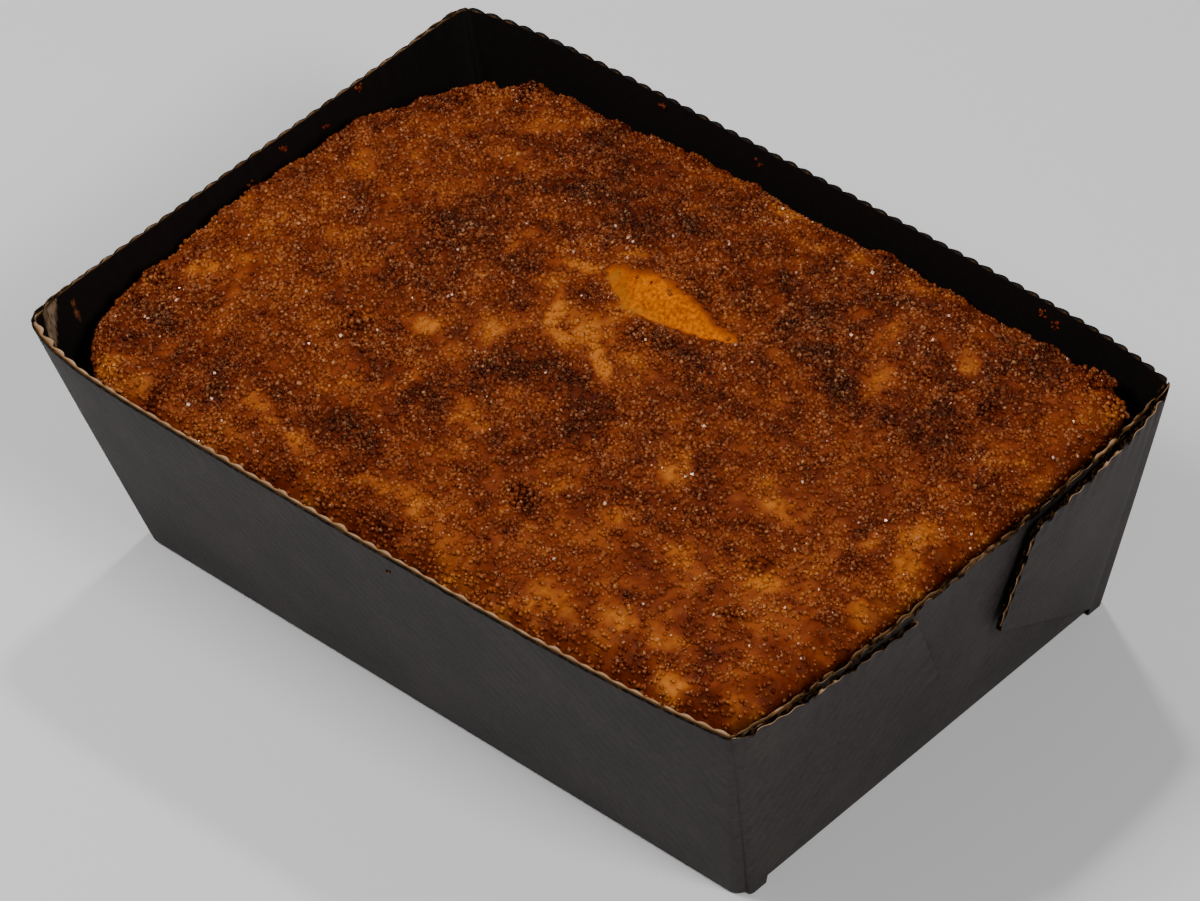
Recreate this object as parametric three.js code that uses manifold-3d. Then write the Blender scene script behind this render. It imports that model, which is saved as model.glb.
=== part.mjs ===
// A butter cake in its own baking tray: a domed loaf with a split, sugared crust, standing in
// a tray that is folded from one blank of black fluted paper. Millimetres, +Z up, standing on z = 0.
import * as THREE from "three";
import { mergeVertices } from "three/addons/utils/BufferGeometryUtils.js";
import Module from "manifold-3d";

// ---- the tray: outside sizes from corner to corner ----
const rimLength = 166;
const rimWidth = 107;
const baseLength = 143.8;
const baseWidth = 91.2;
const trayHeight = 49.5;
const paper = 0.8; // thickness of the fluted paper
const foldRadius = { base: 2.6, rim: 0.9 }; // upright corner folds, in plan
const baseRounding = 0.5; // fold along the base edge
const rimDrop = 0.19; // a wall that leans out by 1 mm more has its rim this much lower

// The rising cake has pushed each wall out at the rim, and the folded corners hold it back.
// first and last: the push near the wall's two ends; reachFirst and reachLast: how far along the wall
// each corner's hold is felt. The walls run anticlockwise, seen from above.
const walls = {
  front: { first: 3.8, last: 3.4, reachFirst: 9, reachLast: 27 },
  right: { first: 3.1, last: 3.1, reachFirst: 15, reachLast: 15 },
  back: { first: 4.1, last: 4.1, reachFirst: 13.5, reachLast: 11 },
  left: { first: 1, last: 2.8, reachFirst: 2, reachLast: 5 },
};
const wallNames = Object.keys(walls);

// The flutes cross the walls aslant, so that their cut ends show as a wave along all four rims
const wavePitch = 3.4;
const stationsPerWave = 4;
const outerBand = 5; // depth below the rim over which the wave fades out, outside and inside
const innerBand = 7;
const fluteDepth = 0.4; // how far the wave moves the inner face
const linerWave = 0.12; // how far the outer face follows it

// Stations along each half of a wall: distances from its corner, clear of its middle by the last value
const wallSteps = [0, 0.4, 0.8, 1.2, 3, 6, 10, 16, 24, 34];
const longWallSteps = [46, 59, 71]; // and more on the two long walls
const clearOfMiddle = 6;

// ---- the end flaps of the long walls, wrapped round onto the outside of the short walls ----
// top and low: how far the flap reaches from its corner along its top edge and at its lower corner;
// lowHeight: height of the lower corner, and drop: fall of the top edge, as shares of the tray's height;
// lift: how far the free end stands off the short wall
const flapToe = 5.6; // stretch of the lower edge that still meets the base
const flapToeShare = 0.14; // the same, as a share of the flap's columns
const flapToeCut = 0.04; // the lower edge then steps up by this share of the height
const flapSink = 0.3; // a flap that lies flat is let this far into the wall that it is glued to
const flapStart = { base: 1.7, rim: 0.3 }; // the sheet starts this far from the corner, inside its fold
const flapFoldShare = 0.45; // thickness at the fold, as a share of the paper's
const flapColumns = [0, 0.02, 0.06, 0.14, 0.15, 0.28, 0.46, 0.64, 0.82, 1];
const flapRows = 5;
const flaps = [
  { wall: "right", atStart: true, top: 40, low: 46.5, lowHeight: 0.45, drop: 0.045, lift: 0.3 },
  { wall: "right", atStart: false, top: 38, low: 38.8, lowHeight: 0.49, drop: 0.012, lift: 1.7 },
  { wall: "left", atStart: true, top: 40, low: 44, lowHeight: 0.45, drop: 0.045, lift: 0.3 },
  { wall: "left", atStart: false, top: 40, low: 44, lowHeight: 0.45, drop: 0.045, lift: 0.3 },
];

// ---- the cake ----
const clearance = 0.45; // between the cake and the paper
const cakeInset = paper + clearance;
const cakeBaseRounding = 1.2; // where the sides turn in to the flat base
const sideHeight = 33; // up to here the loaf fills the tray
const sideCornerGrowth = 3; // and its upright corners are this much rounder there than at the base
const crustHalfLength = 78.9; // plan of the crust where its shoulder starts, before the bow
const crustHalfWidth = 50.4;
const crustShift = -0.3; // the crust sits nearer the left wall
const crustEdgeHeight = 47.5; // crust level just inside the shoulder
const leftEndLift = 1.6; // the left end has risen higher than the rest
const domeRise = 4.6; // the middle above the crust's edge
const shoulderRadius = 6.5;
const crustCorners = [16, 12, 10, 30]; // radii in plan: front left, front right, back right, back left
const cornerSags = [3.4, 0, 0.3, 3.4]; // and how far the crust sinks towards each
const lowerCornerRadius = 5; // upright corners of the loaf below the crust
const goldenAngle = 2.4;
const lumpWaves = { count: 9, longest: 60, shortest: 14, height: 0.2, start: 0.7 };
const cragWaves = { count: 7, longest: 9, shortest: 5, height: 0.17, start: 0.2 }; // on the shoulders
const cragBand = 11; // width of the stretch along the edge that has crags
const cragFade = 5; // over this distance they begin
const calmBand = 3; // and over this one lumps and crags fade out down the shoulder
const bowShare = 0.78; // share of the rim's bow that the shoulder follows
const bowFalloff = 3; // power by which the bow fades towards the middle of the crust

// Grid lines of the crust, closer together at the shoulders and round the split
const crustColumns = 58;
const crustRows = 39;
const gridSamples = 2000;
const edgeCrowding = { extra: 1.1, reach: 5 };
const splitCrowding = { extra: 1.2, reachX: 16, reachY: 9 };
const splitCentre = { x: 4, y: 12 };
const splitBend = { along: 20, across: 15 }; // how far around the split the grid bends with it

// The largest grains of the sugar on the crust
const grainColumns = 12;
const grainRows = 8;
const grainReach = { x: 74, y: 45.5 };
const grainSize = { min: 1.1, max: 1.7 };
const grainStand = 0.2; // height of a grain's middle above the crust, as a share of its size
const grainSquash = 0.7; // a grain's shorter sides are at least this share of its longest
const grainSeed = 23;

// Seeded random numbers (mulberry32), so that every build is the same
function randomFrom(seed) {
  let state = seed;
  return () => {
    state = (state + 0x6d2b79f5) | 0;
    let t = Math.imul(state ^ (state >>> 15), 1 | state);
    t = (t + Math.imul(t ^ (t >>> 7), 61 | t)) ^ t;
    return ((t ^ (t >>> 14)) >>> 0) / 4294967296;
  };
}

const lerp = (a, b, t) => a + (b - a) * t;

// ---- tray walls

const isLong = (wall) => wall === "front" || wall === "back";
const lengthOf = (wall) => (isLong(wall) ? rimLength : rimWidth);

// Push of a wall's rim at share u of its length: the two corners' holds fade out exponentially
function bowAt(wall, u) {
  const { first, last, reachFirst, reachLast } = walls[wall];
  const fromFirst = u * lengthOf(wall);
  const fromLast = (1 - u) * lengthOf(wall);
  const heldAtFirst = 1 - Math.exp(-fromFirst / reachFirst);
  const heldAtLast = 1 - Math.exp(-fromLast / reachLast);
  return lerp(first, last, u) * heldAtFirst * heldAtLast;
}

// Distance in from both ends of a rounded corner, for a point c along the wall from it: [along, across]
function roundedCorner(c, radius) {
  if (c >= radius) return [c, 0];
  const angle = (Math.PI / 4) * (1 - c / radius);
  return [radius * (1 - Math.sin(angle)), radius * (1 - Math.cos(angle))];
}

const foldAt = (height) => lerp(foldRadius.base, foldRadius.rim, height);

// A point of a closed loop round the tray: share u along a wall, height as a share of the tray's,
// inset from the outside of the corners, a radius for the corners and extra room at the short walls
function loopPoint({ wall, u }, height, inset, radius, endInset = 0) {
  const halfLength = lerp(baseLength, rimLength, height) / 2 - inset - endInset;
  const halfWidth = lerp(baseWidth, rimWidth, height) / 2 - inset;
  const side = 2 * (isLong(wall) ? halfLength : halfWidth);
  const fromStart = u * side;
  const nearStart = fromStart < side / 2;
  const [along, across] = roundedCorner(nearStart ? fromStart : side - fromStart, radius);
  const s = nearStart ? along : side - along;
  const bow = bowAt(wall, u) * height;
  const z = trayHeight * height - rimDrop * bow;
  const out = bow - across;
  if (wall === "front") return [-halfLength + s, -halfWidth - out, z];
  if (wall === "right") return [halfLength + out, -halfWidth + s, z];
  if (wall === "back") return [halfLength - s, halfWidth + out, z];
  return [-halfLength - out, halfWidth - s, z];
}

// Stations round the tray: close together at the corners, wide apart in the middle of the walls
function coarseStations() {
  const stations = [];
  for (const wall of wallNames) {
    const length = lengthOf(wall);
    const middle = length / 2;
    const half = wallSteps.filter((s) => s < middle - clearOfMiddle);
    if (isLong(wall)) half.push(...longWallSteps);
    const far = half.slice(1).reverse().map((s) => length - s);
    for (const s of [...half, middle, ...far]) stations.push({ wall, u: s / length });
  }
  return stations;
}

// Stations along the rims: a whole number of waves on each wall, with their phase
function rimStations() {
  const stations = [];
  for (const wall of wallNames) {
    const length = lengthOf(wall);
    const waves = Math.round(length / wavePitch);
    for (let i = 0; i < waves * stationsPerWave; i++) {
      const wave = Math.cos((2 * Math.PI * i) / stationsPerWave);
      stations.push({ wall, u: i / (waves * stationsPerWave), wave });
    }
  }
  return stations;
}

// ---- meshes from loops

// Collects vertices and triangles, and joins closed loops of vertices
class Skin {
  constructor() {
    this.positions = [];
    this.triangles = [];
  }
  add(point) {
    this.positions.push(...point);
    return this.positions.length / 3 - 1;
  }
  loop(points) {
    return points.map((p) => this.add(p));
  }
  triangle(a, b, c) {
    this.triangles.push(a, b, c);
  }
  // A band between two loops of the same length; upper lies above lower on a wall that faces out
  band(lower, upper) {
    const n = lower.length;
    for (let i = 0; i < n; i++) {
      const j = (i + 1) % n;
      this.triangle(lower[i], lower[j], upper[j]);
      this.triangle(lower[i], upper[j], upper[i]);
    }
  }
  // A band between loops of different lengths, matched by their places round the tray
  stitch(lower, lowerPlaces, upper, upperPlaces) {
    const n = lower.length;
    const m = upper.length;
    const place = (places, i) => places[i % places.length] + (i >= places.length ? wallNames.length : 0);
    let i = 0;
    let j = 0;
    while (i < n || j < m) {
      const takeLower = j >= m || (i < n && place(lowerPlaces, i + 1) <= place(upperPlaces, j + 1));
      if (takeLower) {
        this.triangle(lower[i % n], lower[(i + 1) % n], upper[j % m]);
        i++;
      } else {
        this.triangle(lower[i % n], upper[(j + 1) % m], upper[j % m]);
        j++;
      }
    }
  }
  // A flat cap over a loop, facing up or down
  cap(loop, centre, facesUp) {
    const middle = this.add(centre);
    loop.forEach((a, i) => {
      const b = loop[(i + 1) % loop.length];
      if (facesUp) this.triangle(middle, a, b);
      else this.triangle(middle, b, a);
    });
  }
  geometry() {
    const geometry = new THREE.BufferGeometry();
    geometry.setAttribute("position", new THREE.Float32BufferAttribute(this.positions, 3));
    geometry.setIndex(this.triangles);
    return geometry;
  }
}

const placeOf = (station) => wallNames.indexOf(station.wall) + station.u;

// ---- booleans

const wasm = await Module();
wasm.setup();

function solidOf(geometry) {
  const bare = geometry.clone();
  bare.deleteAttribute("normal");
  bare.deleteAttribute("uv");
  const merged = mergeVertices(bare, 1e-4);
  return new wasm.Manifold(
    new wasm.Mesh({
      numProp: 3,
      vertProperties: new Float32Array(merged.attributes.position.array),
      triVerts: new Uint32Array(merged.index.array),
    }),
  );
}

function geometryOf(solid) {
  const mesh = solid.getMesh();
  const geometry = new THREE.BufferGeometry();
  geometry.setAttribute("position", new THREE.Float32BufferAttribute(mesh.vertProperties, 3));
  geometry.setIndex([...mesh.triVerts]);
  geometry.computeVertexNormals();
  return geometry;
}

// ---- tray

function trayShell() {
  const skin = new Skin();
  const coarse = coarseStations();
  const fine = rimStations();
  const places = coarse.map(placeOf);
  const finePlaces = fine.map(placeOf);
  const ring = (height, inset) =>
    skin.loop(coarse.map((s) => loopPoint(s, height, inset, foldAt(height), paper)));
  const rim = (insetOf) =>
    skin.loop(fine.map((s) => loopPoint(s, 1, insetOf(s.wave), foldRadius.rim, paper)));

  const base = ring(0, baseRounding);
  const baseEdge = ring(baseRounding / trayHeight, 0);
  const outerLow = ring(1 - outerBand / trayHeight, 0);
  const outerRim = rim((wave) => (linerWave * (1 - wave)) / 2);
  const innerRim = rim((wave) => paper + linerWave / 2 - (fluteDepth * (1 + wave)) / 2);
  const innerLow = ring(1 - innerBand / trayHeight, paper);
  const floorEdge = ring(paper / trayHeight, paper);

  skin.cap(base, [0, 0, 0], false);
  skin.band(base, baseEdge);
  skin.band(baseEdge, outerLow);
  skin.stitch(outerLow, places, outerRim, finePlaces);
  skin.band(outerRim, innerRim);
  skin.stitch(innerRim, finePlaces, innerLow, places);
  skin.band(innerLow, floorEdge);
  skin.cap(floorEdge, [0, 0, paper], true);
  return skin.geometry();
}

// A point on the outside of a short wall, s from one corner, moved outward
function shortWallPoint({ wall, atStart }, s, height, outward) {
  const width = lerp(baseWidth, rimWidth, height);
  const u = atStart ? s / width : 1 - s / width;
  const bow = bowAt(wall, u) * height;
  const x = lerp(baseLength, rimLength, height) / 2 - paper + bow + outward;
  const y = (u - 0.5) * width;
  const z = trayHeight * height - rimDrop * bow;
  return wall === "right" ? [x, y, z] : [-x, -y, z];
}

// Share of the flap beyond its toe
const pastToe = (a) => Math.max(0, (a - flapToeShare) / (1 - flapToeShare));

// An end flap: a sheet between four corners on the short wall, with its own thickness
function flapGeometry(flap) {
  const skin = new Skin();
  const sheet = (outwardOf) =>
    flapColumns.map((a) =>
      Array.from({ length: flapRows + 1 }, (_, j) => {
        const b = j / flapRows;
        const past = pastToe(a);
        const lowS = lerp(flapToe * Math.min(1, a / flapToeShare), flap.low, past);
        const lowHeight = past > 0 ? lerp(flapToeCut, flap.lowHeight, past) : 0;
        const topHeight = 1 - flap.drop * a;
        const height = lerp(lowHeight, topHeight, b);
        const s = Math.max(lerp(flapStart.base, flapStart.rim, height), lerp(lowS, flap.top * a, b));
        return skin.add(shortWallPoint(flap, s, height, outwardOf(a)));
      }),
    );
  const lift = (a) => flap.lift * Math.sqrt(pastToe(a));
  const outer = sheet((a) => (a === 0 ? paper * flapFoldShare : paper) + lift(a));
  const inner = sheet((a) => lift(a) - flapSink);
  const quad = (a, b, c, d) => {
    skin.triangle(a, b, c);
    skin.triangle(a, c, d);
  };
  const last = flapColumns.length - 1;
  for (let i = 0; i < last; i++)
    for (let j = 0; j < flapRows; j++) {
      quad(outer[i][j], outer[i + 1][j], outer[i + 1][j + 1], outer[i][j + 1]);
      quad(inner[i][j], inner[i][j + 1], inner[i + 1][j + 1], inner[i + 1][j]);
    }
  for (let i = 0; i < last; i++) {
    quad(inner[i][0], inner[i + 1][0], outer[i + 1][0], outer[i][0]);
    quad(outer[i][flapRows], outer[i + 1][flapRows], inner[i + 1][flapRows], inner[i][flapRows]);
  }
  for (let j = 0; j < flapRows; j++) {
    quad(inner[0][j], outer[0][j], outer[0][j + 1], inner[0][j + 1]);
    quad(outer[last][j], inner[last][j], inner[last][j + 1], outer[last][j + 1]);
  }
  return flap.atStart ? skin.geometry() : turnedInsideOut(skin.geometry());
}

function turnedInsideOut(geometry) {
  const index = geometry.index.array;
  for (let i = 0; i < index.length; i += 3) [index[i + 1], index[i + 2]] = [index[i + 2], index[i + 1]];
  return geometry;
}

function trayGeometry() {
  let tray = solidOf(trayShell());
  for (const flap of flaps) tray = tray.add(solidOf(flapGeometry(flap)));
  return geometryOf(tray);
}

// ---- cake

// Grid lines from -half to half, denser at both ends and round a centre
function gridLines(half, count, centre, reach) {
  const density = (x) =>
    1 +
    edgeCrowding.extra * Math.exp(-(((Math.abs(x) - half) / edgeCrowding.reach) ** 2)) +
    splitCrowding.extra * Math.exp(-(((x - centre) / reach) ** 2));
  const samples = gridSamples;
  const sums = [0];
  for (let i = 0; i < samples; i++) sums.push(sums[i] + density(lerp(-half, half, (i + 0.5) / samples)));
  const lines = [];
  let i = 0;
  for (let k = 0; k <= count; k++) {
    const target = (sums[samples] * k) / count;
    while (i < samples - 1 && sums[i + 1] < target) i++;
    const part = (target - sums[i]) / (sums[i + 1] - sums[i]);
    lines.push(lerp(-half, half, (i + part) / samples));
  }
  lines[0] = -half;
  lines[count] = half;
  return lines;
}

// Corners are counted anticlockwise from the front left
function cornerOf(x, y) {
  if (y < 0) return x < 0 ? 0 : 1;
  return x < 0 ? 3 : 2;
}

// A point of the plain rectangle moved into the outline with round corners, with its distance to the edge.
// A corner's square is mapped to a quarter disc: (u, v) -> (u sqrt(1 - v2/2), v sqrt(1 - u2/2)).
function roundedPlan(x, y) {
  const radius = crustCorners[cornerOf(x, y)];
  const u = (Math.abs(x) - crustHalfLength + radius) / radius;
  const v = (Math.abs(y) - crustHalfWidth + radius) / radius;
  const toEdge = Math.min(crustHalfLength - Math.abs(x), crustHalfWidth - Math.abs(y));
  if (u <= 0 || v <= 0) return { x, y, edge: toEdge };
  const p = u * Math.sqrt(1 - (v * v) / 2);
  const q = v * Math.sqrt(1 - (u * u) / 2);
  return {
    x: Math.sign(x) * (crustHalfLength - radius + radius * p),
    y: Math.sign(y) * (crustHalfWidth - radius + radius * q),
    edge: radius * (1 - Math.hypot(p, q)),
  };
}

// Uneven ground: waves of falling length that run in ever-turning directions, added up
function waves({ count, longest, shortest, height, start }, x, y) {
  let sum = 0;
  for (let k = 0; k < count; k++) {
    const length = lerp(longest, shortest, k / (count - 1));
    const angle = start + k * goldenAngle;
    const along = x * Math.cos(angle) + y * Math.sin(angle);
    sum += Math.sqrt(length / longest) * Math.sin((2 * Math.PI * along) / length + k * k);
  }
  return height * sum;
}

// The split: the rear crust has lifted and torn along a slope of bare crumb, in front of it a low lip.
// Stations run along the tear: x, the lip's y, the slope's width and the step's height.
const splitLine = [
  { x: -12, y: 14.6, width: 3, step: 0 },
  { x: -7, y: 11.6, width: 6, step: 1.3 },
  { x: -1.6, y: 9, width: 8.5, step: 2.4 },
  { x: 3, y: 9.6, width: 8, step: 2.6 },
  { x: 8.5, y: 10.6, width: 6.5, step: 2.3 },
  { x: 14.5, y: 12, width: 4.4, step: 1.3 },
  { x: 21.5, y: 15.5, width: 2.5, step: 0 },
];
const splitFullStep = Math.max(...splitLine.map((s) => s.step));
const splitHollow = { depth: 1.1, place: 0.9, reach: 1.9 }; // at the foot of the slope
const splitLip = { height: 0.7, place: -2.8, reach: 2.2 }; // rim of crust along its front
const splitFade = 16; // the lifted crust sinks back to the dome over this distance

function splitAt(x) {
  const last = splitLine.length - 1;
  if (x <= splitLine[0].x || x >= splitLine[last].x) return null;
  const i = splitLine.findIndex((s) => s.x > x) - 1;
  const a = splitLine[i];
  const b = splitLine[i + 1];
  const t = (x - a.x) / (b.x - a.x);
  return { y: lerp(a.y, b.y, t), width: lerp(a.width, b.width, t), step: lerp(a.step, b.step, t) };
}

const smooth = (t) => {
  const c = Math.min(1, Math.max(0, t));
  return c * c * (3 - 2 * c);
};

function splitRelief(x, y) {
  const split = splitAt(x);
  if (!split) return 0;
  const d = y - split.y;
  const share = split.step / splitFullStep;
  const bump = ({ place, reach }) => Math.exp(-(((d - place) / reach) ** 2));
  const hollow = -splitHollow.depth * share * bump(splitHollow);
  if (d <= 0) return hollow + splitLip.height * share * bump(splitLip);
  if (d < split.width) return hollow + split.step * smooth(d / split.width);
  return hollow + split.step * bump({ place: split.width, reach: splitFade });
}

function crustHeight(x, y, edge) {
  const px = x / crustHalfLength;
  const py = y / crustHalfWidth;
  const dome = domeRise * (1 - px * px) * (1 - py * py);
  const lift = leftEndLift * smooth(-px);
  const sag = cornerSags[cornerOf(x, y)] * smooth(Math.abs(px)) * smooth(Math.abs(py));
  const lump = waves(lumpWaves, x, y);
  const crag = waves(cragWaves, x, y) * smooth((cragBand - edge) / cragFade);
  const over = Math.max(0, shoulderRadius - edge);
  const shoulder = shoulderRadius - Math.sqrt(Math.max(0, shoulderRadius ** 2 - over * over));
  const calm = smooth(edge / calmBand);
  return crustEdgeHeight + dome + lift - sag + (lump + crag) * calm + splitRelief(x, y) - shoulder;
}

// The plan point carried outward with the walls' bow
function bowed(x, y) {
  const toLong = (Math.abs(y) / crustHalfWidth) ** bowFalloff;
  const toShort = (Math.abs(x) / crustHalfLength) ** bowFalloff;
  const alongX = Math.min(1, Math.max(0, x / crustHalfLength / 2 + 0.5));
  const alongY = Math.min(1, Math.max(0, y / crustHalfWidth / 2 + 0.5));
  const longBow = y < 0 ? bowAt("front", alongX) : bowAt("back", 1 - alongX);
  const shortBow = x < 0 ? bowAt("left", 1 - alongY) : bowAt("right", alongY);
  return [
    crustShift + x + Math.sign(x) * shortBow * bowShare * toShort,
    y + Math.sign(y) * longBow * bowShare * toLong,
  ];
}

// Rows of the grid near the split bend to run along it
function alongSplit(gx, gy) {
  const last = splitLine.length - 1;
  const split = splitAt(gx) ?? (gx < 0 ? splitLine[0] : splitLine[last]);
  const past = Math.max(0, splitLine[0].x - gx, gx - splitLine[last].x);
  const near = Math.exp(-((past / splitBend.along) ** 2) - ((gy - splitCentre.y) / splitBend.across) ** 2);
  return gy + (split.y - splitCentre.y) * near * (1 - (gy / crustHalfWidth) ** 4);
}

function cakeBody() {
  const skin = new Skin();
  const xs = gridLines(crustHalfLength, crustColumns, splitCentre.x, splitCrowding.reachX);
  const ys = gridLines(crustHalfWidth, crustRows, splitCentre.y, splitCrowding.reachY);
  const grid = xs.map((gx) =>
    ys.map((gy) => {
      const plan = roundedPlan(gx, alongSplit(gx, gy));
      const [x, y] = bowed(plan.x, plan.y);
      return skin.add([x, y, crustHeight(plan.x, plan.y, plan.edge)]);
    }),
  );
  for (let i = 0; i < crustColumns; i++)
    for (let j = 0; j < crustRows; j++) {
      // the diagonal follows the slope, so that corners and shoulders stay round
      const flip = xs[i] < 0 === ys[j] < 0;
      const [a, b, c, d] = [grid[i][j], grid[i + 1][j], grid[i + 1][j + 1], grid[i][j + 1]];
      if (flip) {
        skin.triangle(a, b, d);
        skin.triangle(b, c, d);
      } else {
        skin.triangle(a, b, c);
        skin.triangle(a, c, d);
      }
    }

  // The border of the grid, anticlockwise, with each point's place along the walls
  const border = [];
  const stations = [];
  const shareX = (x) => x / crustHalfLength / 2 + 0.5;
  const shareY = (y) => y / crustHalfWidth / 2 + 0.5;
  for (let i = 0; i < crustColumns; i++) {
    border.push(grid[i][0]);
    stations.push({ wall: "front", u: shareX(xs[i]) });
  }
  for (let j = 0; j < crustRows; j++) {
    border.push(grid[crustColumns][j]);
    stations.push({ wall: "right", u: shareY(ys[j]) });
  }
  for (let i = crustColumns; i > 0; i--) {
    border.push(grid[i][crustRows]);
    stations.push({ wall: "back", u: 1 - shareX(xs[i]) });
  }
  for (let j = crustRows; j > 0; j--) {
    border.push(grid[0][j]);
    stations.push({ wall: "left", u: 1 - shareY(ys[j]) });
  }

  // Down the sides the loaf follows the paper, then it turns in to its flat base
  const ring = (z, extra, radius) =>
    skin.loop(stations.map((s) => loopPoint(s, z / trayHeight, cakeInset + extra, radius, paper)));
  const sides = [
    ring(cakeInset, cakeBaseRounding, lowerCornerRadius),
    ring(cakeInset + cakeBaseRounding, 0, lowerCornerRadius),
    ring(sideHeight, 0, lowerCornerRadius + sideCornerGrowth),
  ];
  skin.cap(sides[0], [0, 0, cakeInset], false);
  skin.band(sides[0], sides[1]);
  skin.band(sides[1], sides[2]);
  skin.band(sides[2], border);
  return skin.geometry();
}

function cakeGeometry() {
  return geometryOf(wasm.Manifold.union([solidOf(cakeBody()), ...sugarGrains()]));
}

// ---- sugar grains

// The largest sugar grains, fused to the crust: boxes turned at random and half sunk, one in each cell
// of a grid over the crust, so that they lie evenly
function sugarGrains() {
  const random = randomFrom(grainSeed);
  const squashed = (size) => size * lerp(grainSquash, 1, random());
  const grains = [];
  for (let i = 0; i < grainColumns; i++)
    for (let j = 0; j < grainRows; j++) {
      const size = lerp(grainSize.min, grainSize.max, random());
      const gx = lerp(-grainReach.x, grainReach.x, (i + random()) / grainColumns);
      const gy = lerp(-grainReach.y, grainReach.y, (j + random()) / grainRows);
      const plan = roundedPlan(gx, gy);
      const [x, y] = bowed(plan.x, plan.y);
      const z = crustHeight(plan.x, plan.y, plan.edge) + size * grainStand;
      const grain = wasm.Manifold.cube([size, squashed(size), squashed(size)], true);
      grains.push(grain.rotate(90 * random(), 90 * random(), 180 * random()).translate(x, y, z));
    }
  return grains;
}

// ---- the part

const black = new THREE.MeshStandardMaterial({ color: 0x2b2827, roughness: 0.85, metalness: 0 });
const crust = new THREE.MeshStandardMaterial({ color: 0x8a4516, roughness: 0.6, metalness: 0 });

function named(name, geometry, material) {
  const mesh = new THREE.Mesh(geometry, material);
  mesh.name = name;
  return mesh;
}

const part = new THREE.Group();
part.add(named("baking_tray", trayGeometry(), black));
part.add(named("cake", cakeGeometry(), crust));

// The origin is at the middle of the whole part's box, on the surface that it stands on
const box = new THREE.Box3().setFromObject(part);
part.position.set(-(box.min.x + box.max.x) / 2, -(box.min.y + box.max.y) / 2, -box.min.z);

export default part;
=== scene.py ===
import bpy
import math
import numpy as np
from mathutils import Matrix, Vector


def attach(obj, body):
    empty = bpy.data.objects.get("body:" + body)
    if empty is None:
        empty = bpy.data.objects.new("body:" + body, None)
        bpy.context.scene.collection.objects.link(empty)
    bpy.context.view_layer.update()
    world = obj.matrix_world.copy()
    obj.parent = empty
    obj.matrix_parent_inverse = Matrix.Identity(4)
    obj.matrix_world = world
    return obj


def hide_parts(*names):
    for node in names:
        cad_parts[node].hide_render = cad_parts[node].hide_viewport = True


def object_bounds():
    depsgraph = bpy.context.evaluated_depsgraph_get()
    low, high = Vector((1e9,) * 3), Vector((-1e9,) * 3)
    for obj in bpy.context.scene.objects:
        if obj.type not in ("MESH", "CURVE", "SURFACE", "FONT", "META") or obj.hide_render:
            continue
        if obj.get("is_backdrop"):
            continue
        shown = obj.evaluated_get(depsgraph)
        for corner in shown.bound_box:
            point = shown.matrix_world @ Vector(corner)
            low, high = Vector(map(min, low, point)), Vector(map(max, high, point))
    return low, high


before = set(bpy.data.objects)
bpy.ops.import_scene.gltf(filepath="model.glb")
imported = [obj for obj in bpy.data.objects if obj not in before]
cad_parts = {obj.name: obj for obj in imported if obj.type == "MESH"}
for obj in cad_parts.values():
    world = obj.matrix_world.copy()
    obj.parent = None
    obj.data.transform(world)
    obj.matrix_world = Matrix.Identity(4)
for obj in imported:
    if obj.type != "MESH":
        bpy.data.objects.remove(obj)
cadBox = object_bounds()
mm = 0.001

# A butter cake in its folded paper tray. All shapes are worked out in millimetres round the middle of the
# tray's flat base, with the long front wall at -y and the wall with the loose flap at +x, and moved into
# the frame when the meshes are made.


def middleOfBase(node):
    # middle of the corners of a CAD node that lie within 0.05 mm of its lowest one
    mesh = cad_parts[node].data
    spots = np.empty(len(mesh.vertices) * 3)
    mesh.vertices.foreach_get("co", spots)
    spots = spots.reshape(-1, 3)
    low = spots[spots[:, 2] < spots[:, 2].min() + 0.05 * mm]
    return (low.min(0) + low.max(0)) / 2


baseMiddle = middleOfBase("baking_tray")


def lerp(a, b, t):
    # a at t = 0, b at t = 1, in a straight line between
    return a + (b - a) * t


def smooth(t):
    # 0 up to t = 0, 1 from t = 1, an S-shaped rise between
    c = np.clip(t, 0, 1)
    return c * c * (3 - 2 * c)


def rise(value, start, width):
    # smooth rise of a value from 0 at the start to 1 a width further on; a negative width runs downwards
    return smooth((value - start) / width)


def makePiece(name, points, faces, material, node, sharp=None):
    # points: n x 3 in millimetres; faces: a list of arrays, each m x 3 or m x 4; sharp: the angle in degrees
    # past which an edge looks sharp, where None leaves every face smooth and 0 every face flat
    mesh = bpy.data.meshes.new(name)
    mesh.vertices.add(len(points))
    mesh.vertices.foreach_set("co", (points * mm + baseMiddle).ravel())
    corners = np.concatenate([f.ravel() for f in faces])
    sizes = np.concatenate([np.full(len(f), f.shape[1]) for f in faces])
    mesh.loops.add(len(corners))
    mesh.loops.foreach_set("vertex_index", corners)
    mesh.polygons.add(len(sizes))
    mesh.polygons.foreach_set("loop_start", np.concatenate([[0], np.cumsum(sizes)[:-1]]))
    mesh.update(calc_edges=True)
    mesh.polygons.foreach_set("use_smooth", np.full(len(sizes), sharp is None or sharp > 0))
    if sharp:
        mesh.set_sharp_from_angle(angle=math.radians(sharp))
    mesh.materials.append(material)
    piece = bpy.data.objects.new(name, mesh)
    bpy.context.scene.collection.objects.link(piece)
    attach(piece, "root")
    if node:
        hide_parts(node)
    return piece


def paintPoints(piece, name, values):
    # one number for each point, for the material to read
    layer = piece.data.attributes.new(name, "FLOAT", "POINT")
    layer.data.foreach_set("value", np.asarray(values, dtype=np.float32).ravel())


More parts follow.
